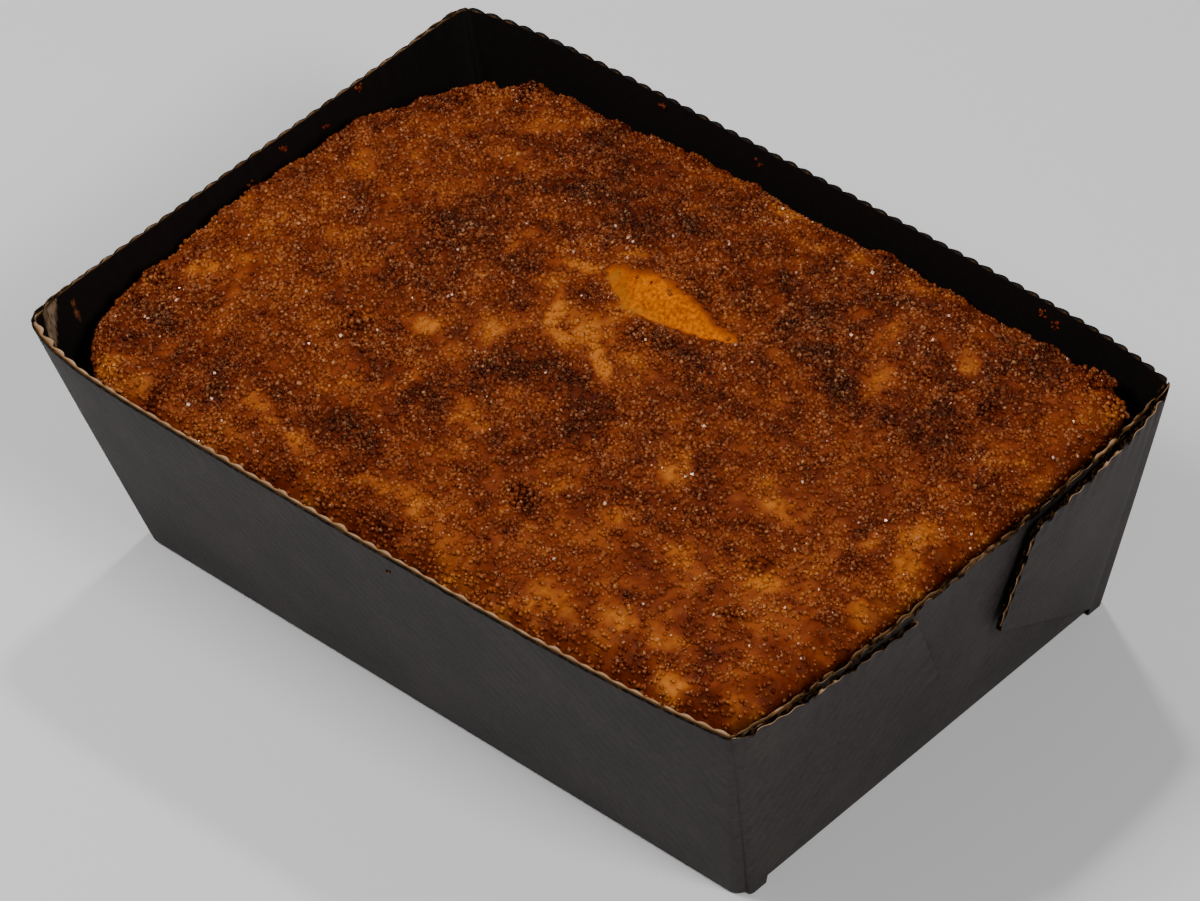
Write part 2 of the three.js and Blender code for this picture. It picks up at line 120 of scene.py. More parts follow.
def gridFaces(rows, columns, closed):
    # quads between neighbouring rows; the columns join up where the rows are closed loops
    i = np.arange(rows - 1)[:, None]
    j = np.arange(columns if closed else columns - 1)[None, :]
    k = (j + 1) % columns
    a, b = i * columns + j, i * columns + k
    return np.stack([a, b, b + columns, a + columns], -1).reshape(-1, 4)


def fanFaces(ring, middle, facesUp):
    # triangles from a closed ring of point numbers to a middle point
    after = np.roll(ring, -1)
    centre = np.full(len(ring), middle)
    return np.stack([centre, ring, after] if facesUp else [centre, after, ring], -1)


noiseShape = {
    "side": 64,  # lattice points before the pattern repeats
    "offset": 500,  # in lattice cells, so that their numbers stay positive
    "fall": 0.55,  # height of each octave against the one before it
}


def softNoise(x, y, size, seed):
    # random heights from -1 to 1 on a square lattice, smoothly blended between its points
    side, offset = noiseShape["side"], noiseShape["offset"]
    table = np.random.default_rng(seed).uniform(-1, 1, (side, side))
    u, v = x / size + offset, y / size + offset
    i, j = np.floor(u).astype(int), np.floor(v).astype(int)
    p, q = smooth(u - i), smooth(v - j)
    corner = lambda di, dj: table[(i + di) % side, (j + dj) % side]
    return lerp(lerp(corner(0, 0), corner(1, 0), p), lerp(corner(0, 1), corner(1, 1), p), q)


def noiseFrom(row, x, y):
    # a row holds height, size in mm, seed and layers: octaves of softNoise, each of half the last one's size
    height, size, seed, layers = row
    heights = [noiseShape["fall"] ** k for k in range(layers)]
    total = sum(heights[k] * softNoise(x, y, size / 2**k, seed + k) for k in range(layers))
    return height * (total / sum(heights))


def wallNoise(row, s, wall, beside=0):
    # the same along the walls: the row's last number sets the walls' stretches of it apart
    *spec, apart = row
    return noiseFrom(spec, s, wall * apart + beside)


class Nodes:
    # a material's node tree, with short calls to add and join nodes
    def __init__(self, name):
        self.material = bpy.data.materials.new(name)
        self.material.use_nodes = True
        self.tree = self.material.node_tree
        self.tree.nodes.clear()
        self.output = self.add("ShaderNodeOutputMaterial")

    def add(self, kind, settings=None, **inputs):
        # a new node; an underscore in an input's name stands for its space
        node = self.tree.nodes.new(kind)
        for key, value in (settings or {}).items():
            setattr(node, key, value)
        for key, value in inputs.items():
            self.put(node.inputs[key.replace("_", " ")], value)
        return node

    def put(self, socket, value):
        # joins a socket to another, or sets its number or colour
        if isinstance(value, bpy.types.NodeSocket):
            self.tree.links.new(value, socket)
        else:
            socket.default_value = value

    def attribute(self, name):
        return self.add("ShaderNodeAttribute", {"attribute_name": name}).outputs["Fac"]

    def coordinates(self):
        return self.add("ShaderNodeTexCoord").outputs["Object"]

    def noise(self, scale, detail, roughness, vector=None):
        node = self.add("ShaderNodeTexNoise", Scale=scale, Detail=detail, Roughness=roughness)
        self.put(node.inputs["Vector"], vector or self.coordinates())
        return node.outputs["Fac"]

    def math(self, operation, a, b=0.0, c=0.0):
        node = self.add("ShaderNodeMath", {"operation": operation})
        for socket, value in zip(node.inputs, (a, b, c)):
            self.put(socket, value)
        return node.outputs[0]

    def span(self, value, low, high, fromLow=0.0, fromHigh=1.0):
        # low to high as the value goes from fromLow to fromHigh, and no further
        node = self.add("ShaderNodeMapRange", {"clamp": True})
        for key, number in zip(("From Min", "From Max", "To Min", "To Max"), (fromLow, fromHigh, low, high)):
            node.inputs[key].default_value = number
        self.put(node.inputs["Value"], value)
        return node.outputs[0]

    def mix(self, factor, a, b):
        # colour a at factor 0, colour b at factor 1
        node = self.add("ShaderNodeMix", {"data_type": "RGBA"})
        self.put(node.inputs[0], factor)
        self.put(node.inputs[6], a if isinstance(a, bpy.types.NodeSocket) else (*a, 1))
        self.put(node.inputs[7], b if isinstance(b, bpy.types.NodeSocket) else (*b, 1))
        return node.outputs[2]

    def bump(self, height, strength, distance, normal=None):
        node = self.add("ShaderNodeBump", Strength=strength, Distance=distance, Height=height)
        if normal:
            self.put(node.inputs["Normal"], normal)
        return node.outputs["Normal"]

    def finish(self, **inputs):
        # one Principled shader with these inputs makes the whole surface
        shader = self.add("ShaderNodeBsdfPrincipled", **inputs)
        self.tree.links.new(shader.outputs[0], self.output.inputs["Surface"])
        return self.material


tray = {
    "rimLength": 166.0,
    "rimWidth": 107.0,
    "baseLength": 143.8,
    "baseWidth": 91.2,
    "height": 49.5,
    "paper": 0.8,
    "foldBase": 2.6,  # radius of the upright corner folds at the base
    "foldRim": 0.9,  # and at the rim
    "baseRounding": 0.5,
    "rimDrop": 0.19,  # for each millimetre that a wall bows out, its rim sinks by this much
    "wavePitch": 3.55,  # of the flutes along the rim
    "stationsPerWave": 12,
    "waveFade": 2.4,  # depth below the rim at which the flutes have sunk to a third
    "hollow": 0.8,  # depth of the open flutes in the cut rim
    "unevenFade": 1.5,  # depth below the rim at which its unevenness has sunk to a third
    "flutes": {"seed": 5, "heights": (0.3, 1.35), "mean": 0.8},  # how much the flutes differ in height
    # the cut rim of each wall: arch of the outer face, bulge of the inner face, unevenness of its height,
    # and how much of the cut is pale inside, along the thin line of the wavy layer and along both faces
    "rims": {
        "front": (0.10, 0.46, 0.10, 1.0, 0.6, 0.0),
        "right": (0.22, 0.30, 0.36, 0.30, 0.6, 0.75),
        "back": (0.52, 0.16, 0.08, 0.06, 0.42, 0.1),
        "left": (0.42, 0.20, 0.08, 0.10, 1.5, 0.3),
    },
    # for each wall, anticlockwise from the front: push out near both ends, and reach of the corners' hold
    "bows": {
        "front": (3.8, 3.4, 9.0, 27.0),
        "right": (3.1, 3.1, 15.0, 15.0),
        "back": (4.1, 4.1, 13.5, 11.0),
        "left": (1.0, 2.8, 2.0, 5.0),
    },
}
wallLengths = np.array([tray["rimLength"], tray["rimWidth"]] * 2)
bowTable = np.array(list(tray["bows"].values()))
rimTable = np.array(list(tray["rims"].values()))


def bowAt(wall, u):
    # push between its values at both ends, times one minus an exponential fall from each corner
    first, last, reachFirst, reachLast = np.moveaxis(bowTable[wall], -1, 0)
    length = wallLengths[wall]
    held = (1 - np.exp(-u * length / reachFirst)) * (1 - np.exp(-(1 - u) * length / reachLast))
    return lerp(first, last, u) * held


def wallPoints(wall, u, height, inset, radius, endInset):
    # points of loops round the tray: a rectangle with round corners that grows with the height and bows out
    wall, u, height, inset, radius, endInset = np.broadcast_arrays(wall, u, height, inset, radius, endInset)
    halfLength = lerp(tray["baseLength"], tray["rimLength"], height) / 2 - inset - endInset
    halfWidth = lerp(tray["baseWidth"], tray["rimWidth"], height) / 2 - inset
    side = 2 * np.where(wall % 2 == 0, halfLength, halfWidth)
    fromStart = u * side
    near = np.minimum(fromStart, side - fromStart)
    angle = math.pi / 4 * (1 - np.clip(near / radius, 0, 1))
    along = np.where(near < radius, radius * (1 - np.sin(angle)), near)
    across = radius * (1 - np.cos(angle))
    s = np.where(fromStart < side / 2, along, side - along)
    bow = bowAt(wall, u) * height
    out = bow - across
    z = tray["height"] * height - tray["rimDrop"] * bow
    x = np.choose(wall, [-halfLength + s, halfLength + out, halfLength - s, -halfLength - out])
    y = np.choose(wall, [-halfWidth - out, -halfWidth + s, halfWidth + out, halfWidth - s])
    return np.stack([x, y, z], -1)


def rimStations():
    # wall number and share along it, a whole number of waves on each wall
    waves = np.round(wallLengths / tray["wavePitch"]).astype(int)
    counts = waves * tray["stationsPerWave"]
    wall = np.repeat(np.arange(4), counts)
    u = np.concatenate([np.arange(n) / n for n in counts])
    return wall, u, waves[wall]


# Noise along the rim: height, size in mm, seed, layers, and the distance between the walls' stretches of it
rimNoise = {
    "mottle": (0.5, 3.1, 12, 3, 37.0),
    "breaks": (1, 4.3, 14, 1, 11.0),
    "tears": (1, 1.9, 17, 3, 23.0),
    "flutes": (0.4, 11, 6, 1, 19.0),
    "heights": (1, 2.0, 8, 2, 71.0),
}


def rimTone(wall, s, phase, across):
    # how pale the cut is: filled with tan here and there, thin broken lines along its layers, and near black
    # between, the painted shade of the open flute hollows
    pale, line, faces = rimTable[wall][:, 3:].T
    arch = np.abs(np.sin(phase / 2))
    mottle = 0.5 + wallNoise(rimNoise["mottle"], s, wall)
    filled = smooth((pale + 0.25 - mottle * 1.2) / 0.35) * rise(across, 0.2, 0.2)
    shade = 0.58 + 0.42 * rise(across, 0.45, 0.4) * arch * (0.5 + mottle)
    onLine = rise(np.abs(across - 0.3 - 0.42 * (1 - arch)), 0.15, -0.1)
    broken = 0.45 + 0.55 * rise(wallNoise(rimNoise["breaks"], s, wall), -0.3, 0.5)
    onFace = rise(np.minimum(across, 1 - across), 0.2, -0.12) * faces
    torn = rise(wallNoise(rimNoise["tears"], s, wall, 9 * (across > 0.5)), -0.12, 0.35)
    return np.maximum(np.maximum(filled * shade, onLine * line * broken * 0.6), onFace * torn)


# Marks on the inside of the left wall, near its front end, in mm from the corner and below the rim: the torn
# patch leans, and each stain has its distance, depth, half length and half height
tornPatch = {
    "from": 2.3,
    "fromSlant": 0.35,
    "to": 7.4,
    "toSlant": 0.79,
    "top": 0.2,
    "bottom": 7.5,
    "soft": 0.5,  # width of its soft edge
}
stains = [(9.2, 3.3, 0.4, 0.45), (8.9, 5.4, 0.5, 0.75)]
markNoise = (0.5, 1.3, 16, 3)


def wallMarks(wall, u, z):
    # torn paper and butter stains as two fields over the inside of the left wall
    fromCorner = (1 - u) * wallLengths[3]
    depth = tray["height"] - z
    ragged = noiseFrom(markNoise, fromCorner, depth)
    spot = tornPatch
    along = np.minimum(fromCorner + spot["fromSlant"] * depth - spot["from"],
                       spot["to"] - spot["toSlant"] * depth - fromCorner)
    down = np.minimum(depth - spot["top"], spot["bottom"] - depth)
    torn = smooth((np.minimum(along, down) + ragged) / spot["soft"]) * (wall == 3)
    stain = np.zeros(depth.shape)
    for s, d, long, tall in stains:
        far = np.hypot((fromCorner - s) / long, (depth - d) / tall)
        stain = np.maximum(stain, smooth(1.4 - far + ragged))
    return torn, stain * (wall == 3)


# Where the loops round the tray lie: on the rounding at the base (degrees), up the plain wall and below the
# rim outside (mm), across the cut (as a share) and down the inside (mm)
trayLoops = {
    "rounding": (0, 30, 60, 90),
    "outside": (6, 12, 18, 24, 30, 36, 41),
    "belowRim": (6, 4.4, 3.1, 2.1, 1.3, 0.7, 0.3, 0.06),
    "cut": (0, 0.12, 0.25, 0.38, 0.5, 0.62, 0.75, 0.88, 1),
    "inside": (0.06, 0.3, 0.7, 1.3, 2, 2.8, 3.7, 4.7, 5.8, 7, 8.2, 9.5, 14, 21, 30, 40),
}


def trayShell(material):
    # the profile of the wall (height share, inset, how far the waves show) carried round the tray
    wall, u, waves = rimStations()
    columns = len(wall)
    paper, height, flutes = tray["paper"], tray["height"], tray["flutes"]
    phase = 2 * math.pi * u * waves
    s = u * wallLengths[wall]
    table = np.random.default_rng(flutes["seed"]).uniform(*flutes["heights"], (4, waves.max() + 1))
    perWave = table[wall, (u * waves).astype(int)]
    perWave = perWave * (flutes["mean"] + wallNoise(rimNoise["flutes"], s, wall))
    outerWave, innerWave, ragged = rimTable[wall][:, :3].T
    unevenness = ragged * wallNoise(rimNoise["heights"], s, wall)
    rows = []  # (height share, inset, share of the waves, place across the cut, cut)
    rounding = tray["baseRounding"]
    for turn in trayLoops["rounding"]:
        a = math.radians(turn)
        rows.append((rounding * (1 - math.cos(a)) / height, rounding * (1 - math.sin(a)), 0, 0, 0))
    for z in trayLoops["outside"]:
        rows.append((z / height, 0, 0, 0, 0))
    for depth in trayLoops["belowRim"]:
        rows.append((1 - depth / height, 0, math.exp(-depth / tray["waveFade"]), 0, 0))
    for across in trayLoops["cut"]:
        rows.append((1, paper * across, 1, across, 1))
    for depth in trayLoops["inside"]:
        rows.append((1 - depth / height, paper, math.exp(-depth / tray["waveFade"]), 1, 0))
    rows.append((paper / height, paper, 0, 1, 0))
    h, inset, share, across, cut = (np.array(c, float)[:, None] for c in zip(*rows))
    arch = np.abs(np.sin(phase / 2))
    outside = outerWave * (1 - arch) * share
    inside = innerWave * (arch**1.5 * perWave - 0.5) * share
    inset = inset + lerp(outside, inside, across)
    radius = lerp(tray["foldBase"], tray["foldRim"], h)
    points = wallPoints(wall, u, h, inset, radius, paper)
    tone = rimTone(wall, s, phase, across) * cut
    nearRim = np.exp(-(1 - h) * height / tray["unevenFade"])
    hollow = cut * tray["hollow"] * (1 - smooth(tone * 2)) * (across > 0) * (across < 1)
    points[..., 2] += (unevenness - ragged * 0.5) * nearRim - hollow
    count = points.shape[0] * columns
    extra = np.array([[0, 0, 0], [0, 0, paper]])
    faces = [
        gridFaces(len(rows), columns, True),
        fanFaces(np.arange(columns), count, False),
        fanFaces(np.arange(count - columns, count), count + 1, True),
    ]
    piece = makePiece("tray", np.concatenate([points.reshape(-1, 3), extra]), faces, material,
                      "baking_tray", sharp=40)
    blank = np.zeros(2)
    full = np.broadcast_to(cut, points.shape[:2])
    paintPoints(piece, "cutEdge", np.concatenate([full.ravel(), blank]))
    # edgeTone: pale tan where high, painted shade of the open flute hollows where low
    paintPoints(piece, "edgeTone", np.concatenate([tone.ravel(), blank]))
    within = np.broadcast_to((across > 0.99) * 1.0, full.shape)
    paintPoints(piece, "inside", np.concatenate([within.ravel(), [0, 1]]))
    for key, field in zip(("torn", "stain"), wallMarks(wall, u, points[..., 2])):
        paintPoints(piece, key, np.concatenate([(field * within * (1 - cut)).ravel(), blank]))
    # the flutes run aslant: one way on the long walls, the other way on the short ones
    slant = (s + np.where(wall % 2 == 0, 1, -1) * points[..., 2]) / tray["wavePitch"]
    paintPoints(piece, "flute", np.concatenate([slant.ravel(), blank]))
    return piece


# End flaps of the long walls, glued round onto the short walls: the wall they lie on, whether they start at
# its start, reach of the top edge and of the lower corner, that corner's height share, fall of the top edge
# as a share of the height, and lift of the free end
flaps = {
    "flapFrontRight": (1, True, 40, 46.5, 0.45, 0.045, 0.3),
    "flapBackRight": (1, False, 39, 39.2, 0.49, 0.012, 1.7),
    "flapFrontLeft": (3, True, 40, 44, 0.45, 0.045, 0.3),
    "flapBackLeft": (3, False, 40, 44, 0.45, 0.045, 0.3),
}
flapShape = {
    "toe": 5.6,  # the lower edge runs along the base for this many mm,
    "toeShare": 0.14,  # which is this share of the way out,
    "toeCut": 0.04,  # and then rises from this height share
    "start": (1.7, 0.3),  # distance from the tray's corner to the fold, at the base and at the rim
    "sink": 0.3,  # depth of the hidden side in the wall
    "foldShare": 0.04,  # the sheet thickens from this share over the next share of its reach
    "foldReach": 0.06,
    "columns": 100,
    "rows": 70,
    "layers": 9,
    "lastLine": 0.998,  # share at which the last line before a cut edge runs
    "topWave": (0.2, 14),  # height of the flutes behind the top edge, and how fast they fade
    "endWave": (0.12, 20),  # and of those behind the free end
    "beadPitch": 4.5,  # of the flutes cut open along the free end
    "endLength": 27.0,
    "hollow": 0.6,  # depth of the open flutes in its cut edges
    "ragged": (0.35, 0.4, 25),  # unevenness of the top edge, how far it lies low, and how fast it fades
    "topNoise": (1, 1.8, 52, 3, 31.0),
    "endNoise": (1, 2.3, 53, 1),
}


def flapPiece(name, flap, material):
    # a sheet between four corners on the short wall: columns run from the fold to the free end
    wall, atStart, topReach, lowReach, lowShare, drop, lift = flap
    shape = flapShape
    columns, rows = shape["columns"], shape["rows"]
    a = np.append(np.linspace(0, shape["lastLine"], columns - 1), 1)[:, None]
    b = np.append(np.linspace(0, shape["lastLine"], rows - 1), 1)[None, :]
    past = np.clip((a - shape["toeShare"]) / (1 - shape["toeShare"]), 0, 1)
    lowS = lerp(shape["toe"] * np.minimum(1, a / shape["toeShare"]), lowReach, past)
    lowHeight = np.where(past > 0, lerp(shape["toeCut"], lowShare, past), 0)
    height = lerp(lowHeight, 1 - drop * a, b)
    s = np.maximum(lerp(*shape["start"], height), lerp(lowS, topReach * a, b))
    width = lerp(tray["baseWidth"], tray["rimWidth"], height)
    u = s / width if atStart else 1 - s / width
    bow = bowAt(np.full(u.shape, wall), u) * height
    lift = lift * np.sqrt(past)
    # across the sheet: 0 at the wall's side, 1 outside; the middle layers close its edges
    layers = np.linspace(0, 1, shape["layers"])[:, None, None]
    thick = lerp(shape["foldShare"], 1, smooth(a / shape["foldReach"]))
    (topWave, topFade), (endWave, endFade) = shape["topWave"], shape["endWave"]
    topPhase = 2 * math.pi * s / tray["wavePitch"]
    endPhase = 2 * math.pi * b * shape["endLength"] / shape["beadPitch"]
    wavy = topWave * np.cos(topPhase) * np.exp(-(1 - b) * topFade)
    wavy = (wavy + endWave * np.cos(endPhase) * np.exp(-(1 - a) * endFade)) * smooth(a / shape["foldReach"])
    out = lerp(lift - shape["sink"], tray["paper"] * thick + lift, layers) + wavy
    jag = wallNoise(shape["topNoise"], s, wall)
    uneven, low, fade = shape["ragged"]
    height = height + uneven / tray["height"] * (jag - low) * np.exp(-(1 - b) * fade)
    # the fold follows the tray's rounded corner
    radius = lerp(tray["foldBase"], tray["foldRim"], height)
    bend = radius * (1 - np.sqrt(1 - np.clip(1 - s / radius, 0, 1) ** 2))
    x = lerp(tray["baseLength"], tray["rimLength"], height) / 2 - tray["paper"] + bow + out - bend
    y = np.broadcast_to((u - 0.5) * width, x.shape)
    z = np.broadcast_to(tray["height"] * height - tray["rimDrop"] * bow, x.shape)
    side = 1 if wall == 1 else -1
    points = np.stack([side * x, side * y, z], -1)
    # the cut edges: a broken pale line outside, curls of the wavy layer at the free end, and hollows
    # between, painted near black as their shade
    line = rise(layers, 0.72, 0.14) * rise(jag, -0.4, 0.3) * 0.8
    fill = rise(jag, 0.12, 0.25) * rise(layers, 0.3, 0.2) * 0.85
    curl = np.abs(layers - 0.3 - 0.5 * np.abs(np.sin(endPhase / 2)))
    patchy = rise(noiseFrom(shape["endNoise"], b * shape["endLength"], a * 0), -0.6, 0.4)
    bead = rise(curl, 0.2, -0.12) * patchy * 0.85
    tone = np.where(b == 1, np.maximum(line, fill), np.where(a == 1, bead, 0)) + np.zeros(points.shape[:3])
    opened = shape["hollow"] * (1 - smooth(2 * tone)) * (layers > 0) * (layers < 1)
    points[..., 2] -= opened * (b == 1)
    points[..., 1] -= opened * (a == 1) * (side if atStart else -side)
    index = np.arange(points.shape[0] * columns * rows).reshape(points.shape[:3])
    quad = lambda *corners: np.stack(corners, -1).reshape(-1, 4)
    outer, inner = index[-1], index[0]
    faces = [
        quad(outer[:-1, :-1], outer[1:, :-1], outer[1:, 1:], outer[:-1, 1:]),
        quad(inner[:-1, :-1], inner[:-1, 1:], inner[1:, 1:], inner[1:, :-1]),
        quad(index[:-1, :-1, 0], index[:-1, 1:, 0], index[1:, 1:, 0], index[1:, :-1, 0]),
        quad(index[:-1, :-1, -1], index[1:, :-1, -1], index[1:, 1:, -1], index[:-1, 1:, -1]),
        quad(index[:-1, 0, :-1], index[1:, 0, :-1], index[1:, 0, 1:], index[:-1, 0, 1:]),
        quad(index[:-1, -1, :-1], index[:-1, -1, 1:], index[1:, -1, 1:], index[1:, -1, :-1]),
    ]
    if not atStart:
        faces = [f[:, ::-1] for f in faces]
    used = np.unique(np.concatenate([f.ravel() for f in faces]))
    renumber = np.zeros(index.size, int)
    renumber[used] = np.arange(len(used))
    piece = makePiece(name, points.reshape(-1, 3)[used], [renumber[f] for f in faces], material,
                      "baking_tray", sharp=40)
    blank = np.zeros(points.shape[:3])
    onEdge = blank.copy()
    onEdge[1:-1] = 1
    onEdge[:, -1] = onEdge[:, :, -1] = 1
    onEdge[:, 0] = 0
    slant = np.broadcast_to((u * wallLengths[1] - z[0]) / tray["wavePitch"], blank.shape)
    fields = dict.fromkeys(("inside", "torn", "stain"), blank)
    fields.update({"cutEdge": onEdge, "edgeTone": tone, "flute": slant})
    for key, field in fields.items():
        paintPoints(piece, key, field.ravel()[used])
    return piece


paperLook = {
    # scale, detail and roughness of each noise
    "fibres": (800, 6, 0.7),
    "clouds": (70, 5, 0.6),
    "streaks": (2200, 2, 0.5),
    "stainSpecks": (1500, 3, 0.55),
    "edgeSpecks": (1100, 2, 0.55),
    "outside": (0.0162, 0.0131, 0.0122),
    "outsideWorn": (0.0445, 0.0364, 0.0336),
    "inside": (0.003, 0.0012, 0.0008),
    "paleTan": (0.5, 0.31, 0.18),
    "brownTan": (0.2, 0.098, 0.036),
    # painted shade: the near black of the open flute hollows in the cut edge
    "fluteHollowShade": (0.004, 0.002, 0.001),
    "torn": (0.3, 0.2, 0.12),
    "tornShade": (0.1, 0.06, 0.03),
    "stain": (0.24, 0.075, 0.018),
}


def paperMaterial():
    # worn black outside with faint flutes, dark inside, pale torn patch and stains, and a tan cut edge with
    # painted shade in its open flute hollows
    m = Nodes("blackFlutedPaper")
    look = paperLook
    fibres = m.noise(*look["fibres"])
    clouds = m.noise(*look["clouds"])
    stripes = m.math("SINE", m.math("MULTIPLY", m.attribute("flute"), 2 * math.pi))
    worn = m.math("ADD", m.span(clouds, 0, 0.4, 0.4, 0.68), m.span(fibres, 0, 0.7, 0.36, 0.64))
    worn = m.math("MULTIPLY_ADD", stripes, 0.05, worn)
    outside = m.mix(worn, look["outside"], look["outsideWorn"])
    wall = m.mix(m.attribute("inside"), outside, look["inside"])
    grain = m.add("ShaderNodeMapping", {"vector_type": "POINT"}, Vector=m.coordinates(), Scale=(1, 1, 0.12))
    streaks = m.noise(*look["streaks"], grain.outputs[0])
    torn = m.mix(m.span(streaks, 0, 1, 0.38, 0.62), look["tornShade"], look["torn"])
    wall = m.mix(m.attribute("torn"), wall, torn)
    blotch = m.math("MULTIPLY", m.attribute("stain"), m.span(m.noise(*look["stainSpecks"]), 0, 1, 0.4, 0.55))
    wall = m.mix(blotch, wall, look["stain"])
    tone = m.attribute("edgeTone")
    # the cut edge's tone runs from painted shade in the flute hollows through brown to pale tan
    edge = m.mix(m.span(tone, 0, 1, 0.0, 0.5), look["fluteHollowShade"], look["brownTan"])
    edge = m.mix(m.span(tone, 0, 1, 0.5, 1.0), edge, look["paleTan"])
    edge = m.mix(m.span(m.noise(*look["edgeSpecks"]), 0, 0.35, 0.5, 0.7), edge, look["brownTan"])
    colour = m.mix(m.attribute("cutEdge"), wall, edge)
    flat = m.bump(stripes, 0.12, 0.05 * mm)
    rough = m.bump(fibres, 0.8, 0.12 * mm, flat)
    return m.finish(Base_Color=colour, Roughness=m.span(fibres, 0.55, 0.8), Normal=rough,
                    Specular_IOR_Level=m.span(m.attribute("cutEdge"), 0.2, 0.03))


cake = {
    "clearance": 0.45,  # to the paper
    "sideHeight": 33.0,  # up to here the side follows the paper
    "halfLength": 78.9,
    "halfWidth": 50.4,
    "shift": -0.3,  # of the crust towards the left end
    "edgeHeight": 47.5,
    "leftEndLift": 1.6,
    "domeRise": 4.6,
    "shoulder": 6.5,  # radius of the crust's rounding at its edge
    "corners": (16.0, 12.0, 10.0, 30.0),  # plan radii, anticlockwise from the front left
    "sags": (3.4, 0.0, 0.3, 3.4),  # how far the corners have sunk, in the same order
    "lowerCorner": 5.0,  # radius of the upright corners at the base, this much more at sideHeight
    "cornerGrowth": 3,
    "baseRounding": 1.2,
    "bowShare": 0.78,  # of the walls' bow that the crust's edge takes, and how it falls off inwards
    "bowFalloff": 3,
    "lumps": {"count": 9, "longest": 60, "shortest": 14, "height": 0.2, "start": 0.7},
    "crags": {"count": 7, "longest": 9, "shortest": 5, "height": 0.17, "start": 0.2},
    "cragBand": 11.0,  # the crags lie within this distance of the edge and fade in over the next number
    "cragFade": 5,
    "calmEdge": 3,  # lumps and crags fade out over this distance from the edge
    # the grid's lines lie this much closer at the ends and round the split, within these distances
    "closer": {"atEnds": 0.8, "endReach": 5, "atSplit": 0.9, "reachX": 16, "reachY": 9, "samples": 4000},
    "columns": 372,
    "rows": 238,
}
goldenAngle = 2.4  # in radians: spreads any number of directions evenly

# The split: the rear crust has lifted and torn along a slope of bare crumb. Along the tear: x, y of the
# slope's foot, width of the slope, height of the step
split = {
    "x": (-12, -7, -1.6, 3, 8.5, 14.5, 21.5),
    "y": (14.6, 11.6, 9, 9.6, 10.6, 12, 15.5),
    "width": (3, 6, 8.5, 8, 6.5, 4.4, 2.5),
    "step": (0, 1.3, 2.4, 2.6, 2.3, 1.3, 0),
    "centre": (4.0, 12.0),
    "depth": 1.1,  # of the hollow at the foot, and its place behind it and width
    "hollowAt": 0.9,
    "hollowWidth": 1.9,
    "lip": 0.7,  # height of the lip, its place before the foot and width
    "lipBefore": 2.8,
    "lipWidth": 2.2,
    "fade": 16.0,  # the raised rear crust sinks back over this distance
    "fullStep": 2.6,
    "bend": (20, 15),  # reach of the bend of the grid's lines, past the split's ends and across it
}


def waves(spec, x, y):
    # uneven ground: sines of falling length in ever-turning directions, added up
    total = 0
    for k in range(spec["count"]):
        length = lerp(spec["longest"], spec["shortest"], k / (spec["count"] - 1))
        angle = spec["start"] + k * goldenAngle
        along = x * math.cos(angle) + y * math.sin(angle)
        total = total + math.sqrt(length / spec["longest"]) * np.sin(2 * math.pi * along / length + k * k)
    return spec["height"] * total


def splitAt(x):
    # foot, width and step of the split at x, in straight lines between its points
    return [np.interp(x, split["x"], split[key]) for key in ("y", "width", "step")]


def splitRelief(x, y):
    # a hollow at the slope's foot, a lip before it, and a step up that fades away behind
    foot, width, step = splitAt(x)
    d = y - foot
    share = step / split["fullStep"]
    hollow = -split["depth"] * share * np.exp(-(((d - split["hollowAt"]) / split["hollowWidth"]) ** 2))
    lip = split["lip"] * share * np.exp(-(((d + split["lipBefore"]) / split["lipWidth"]) ** 2))
    behind = np.exp(-((np.maximum(d - width, 0) / split["fade"]) ** 2))
    raised = np.where(d < width, smooth(d / width), behind)
    return hollow + np.where(d <= 0, lip, step * raised)


def byCorner(values, x, y):
    # the value of the corner that each point lies nearest to, anticlockwise from the front left
    front = np.where(x < 0, values[0], values[1])
    back = np.where(x < 0, values[3], values[2])
    return np.where(y < 0, front, back)


def roundedPlan(x, y):
    # each corner's square is mapped to a quarter disc: (u, v) -> (u sqrt(1 - v2/2), v sqrt(1 - u2/2))
    radius = byCorner(cake["corners"], x, y)
    halfLength, halfWidth = cake["halfLength"], cake["halfWidth"]
    u = np.clip((np.abs(x) - halfLength + radius) / radius, 0, 1)
    v = np.clip((np.abs(y) - halfWidth + radius) / radius, 0, 1)
    p, q = u * np.sqrt(1 - v * v / 2), v * np.sqrt(1 - u * u / 2)
    inCorner = (u > 0) & (v > 0)
    px = np.where(inCorner, np.sign(x) * (halfLength - radius + radius * p), x)
    py = np.where(inCorner, np.sign(y) * (halfWidth - radius + radius * q), y)
    straight = np.minimum(halfLength - np.abs(x), halfWidth - np.abs(y))
    return px, py, np.where(inCorner, radius * (1 - np.hypot(p, q)), straight)


def crustHeight(x, y, edge):
    # edge height + dome + lifted left end - sagged corners + lumps and crags + split - rounded shoulder
    px, py = x / cake["halfLength"], y / cake["halfWidth"]
    dome = cake["domeRise"] * (1 - px * px) * (1 - py * py)
    lift = cake["leftEndLift"] * smooth(-px)
    sag = byCorner(cake["sags"], x, y) * smooth(np.abs(px)) * smooth(np.abs(py))
    lump = waves(cake["lumps"], x, y)
    crag = waves(cake["crags"], x, y) * smooth((cake["cragBand"] - edge) / cake["cragFade"])
    over = np.clip(cake["shoulder"] - edge, 0, cake["shoulder"])
    shoulder = cake["shoulder"] - np.sqrt(cake["shoulder"] ** 2 - over**2)
    calm = smooth(edge / cake["calmEdge"])
    return cake["edgeHeight"] + dome + lift - sag + (lump + crag) * calm + splitRelief(x, y) - shoulder


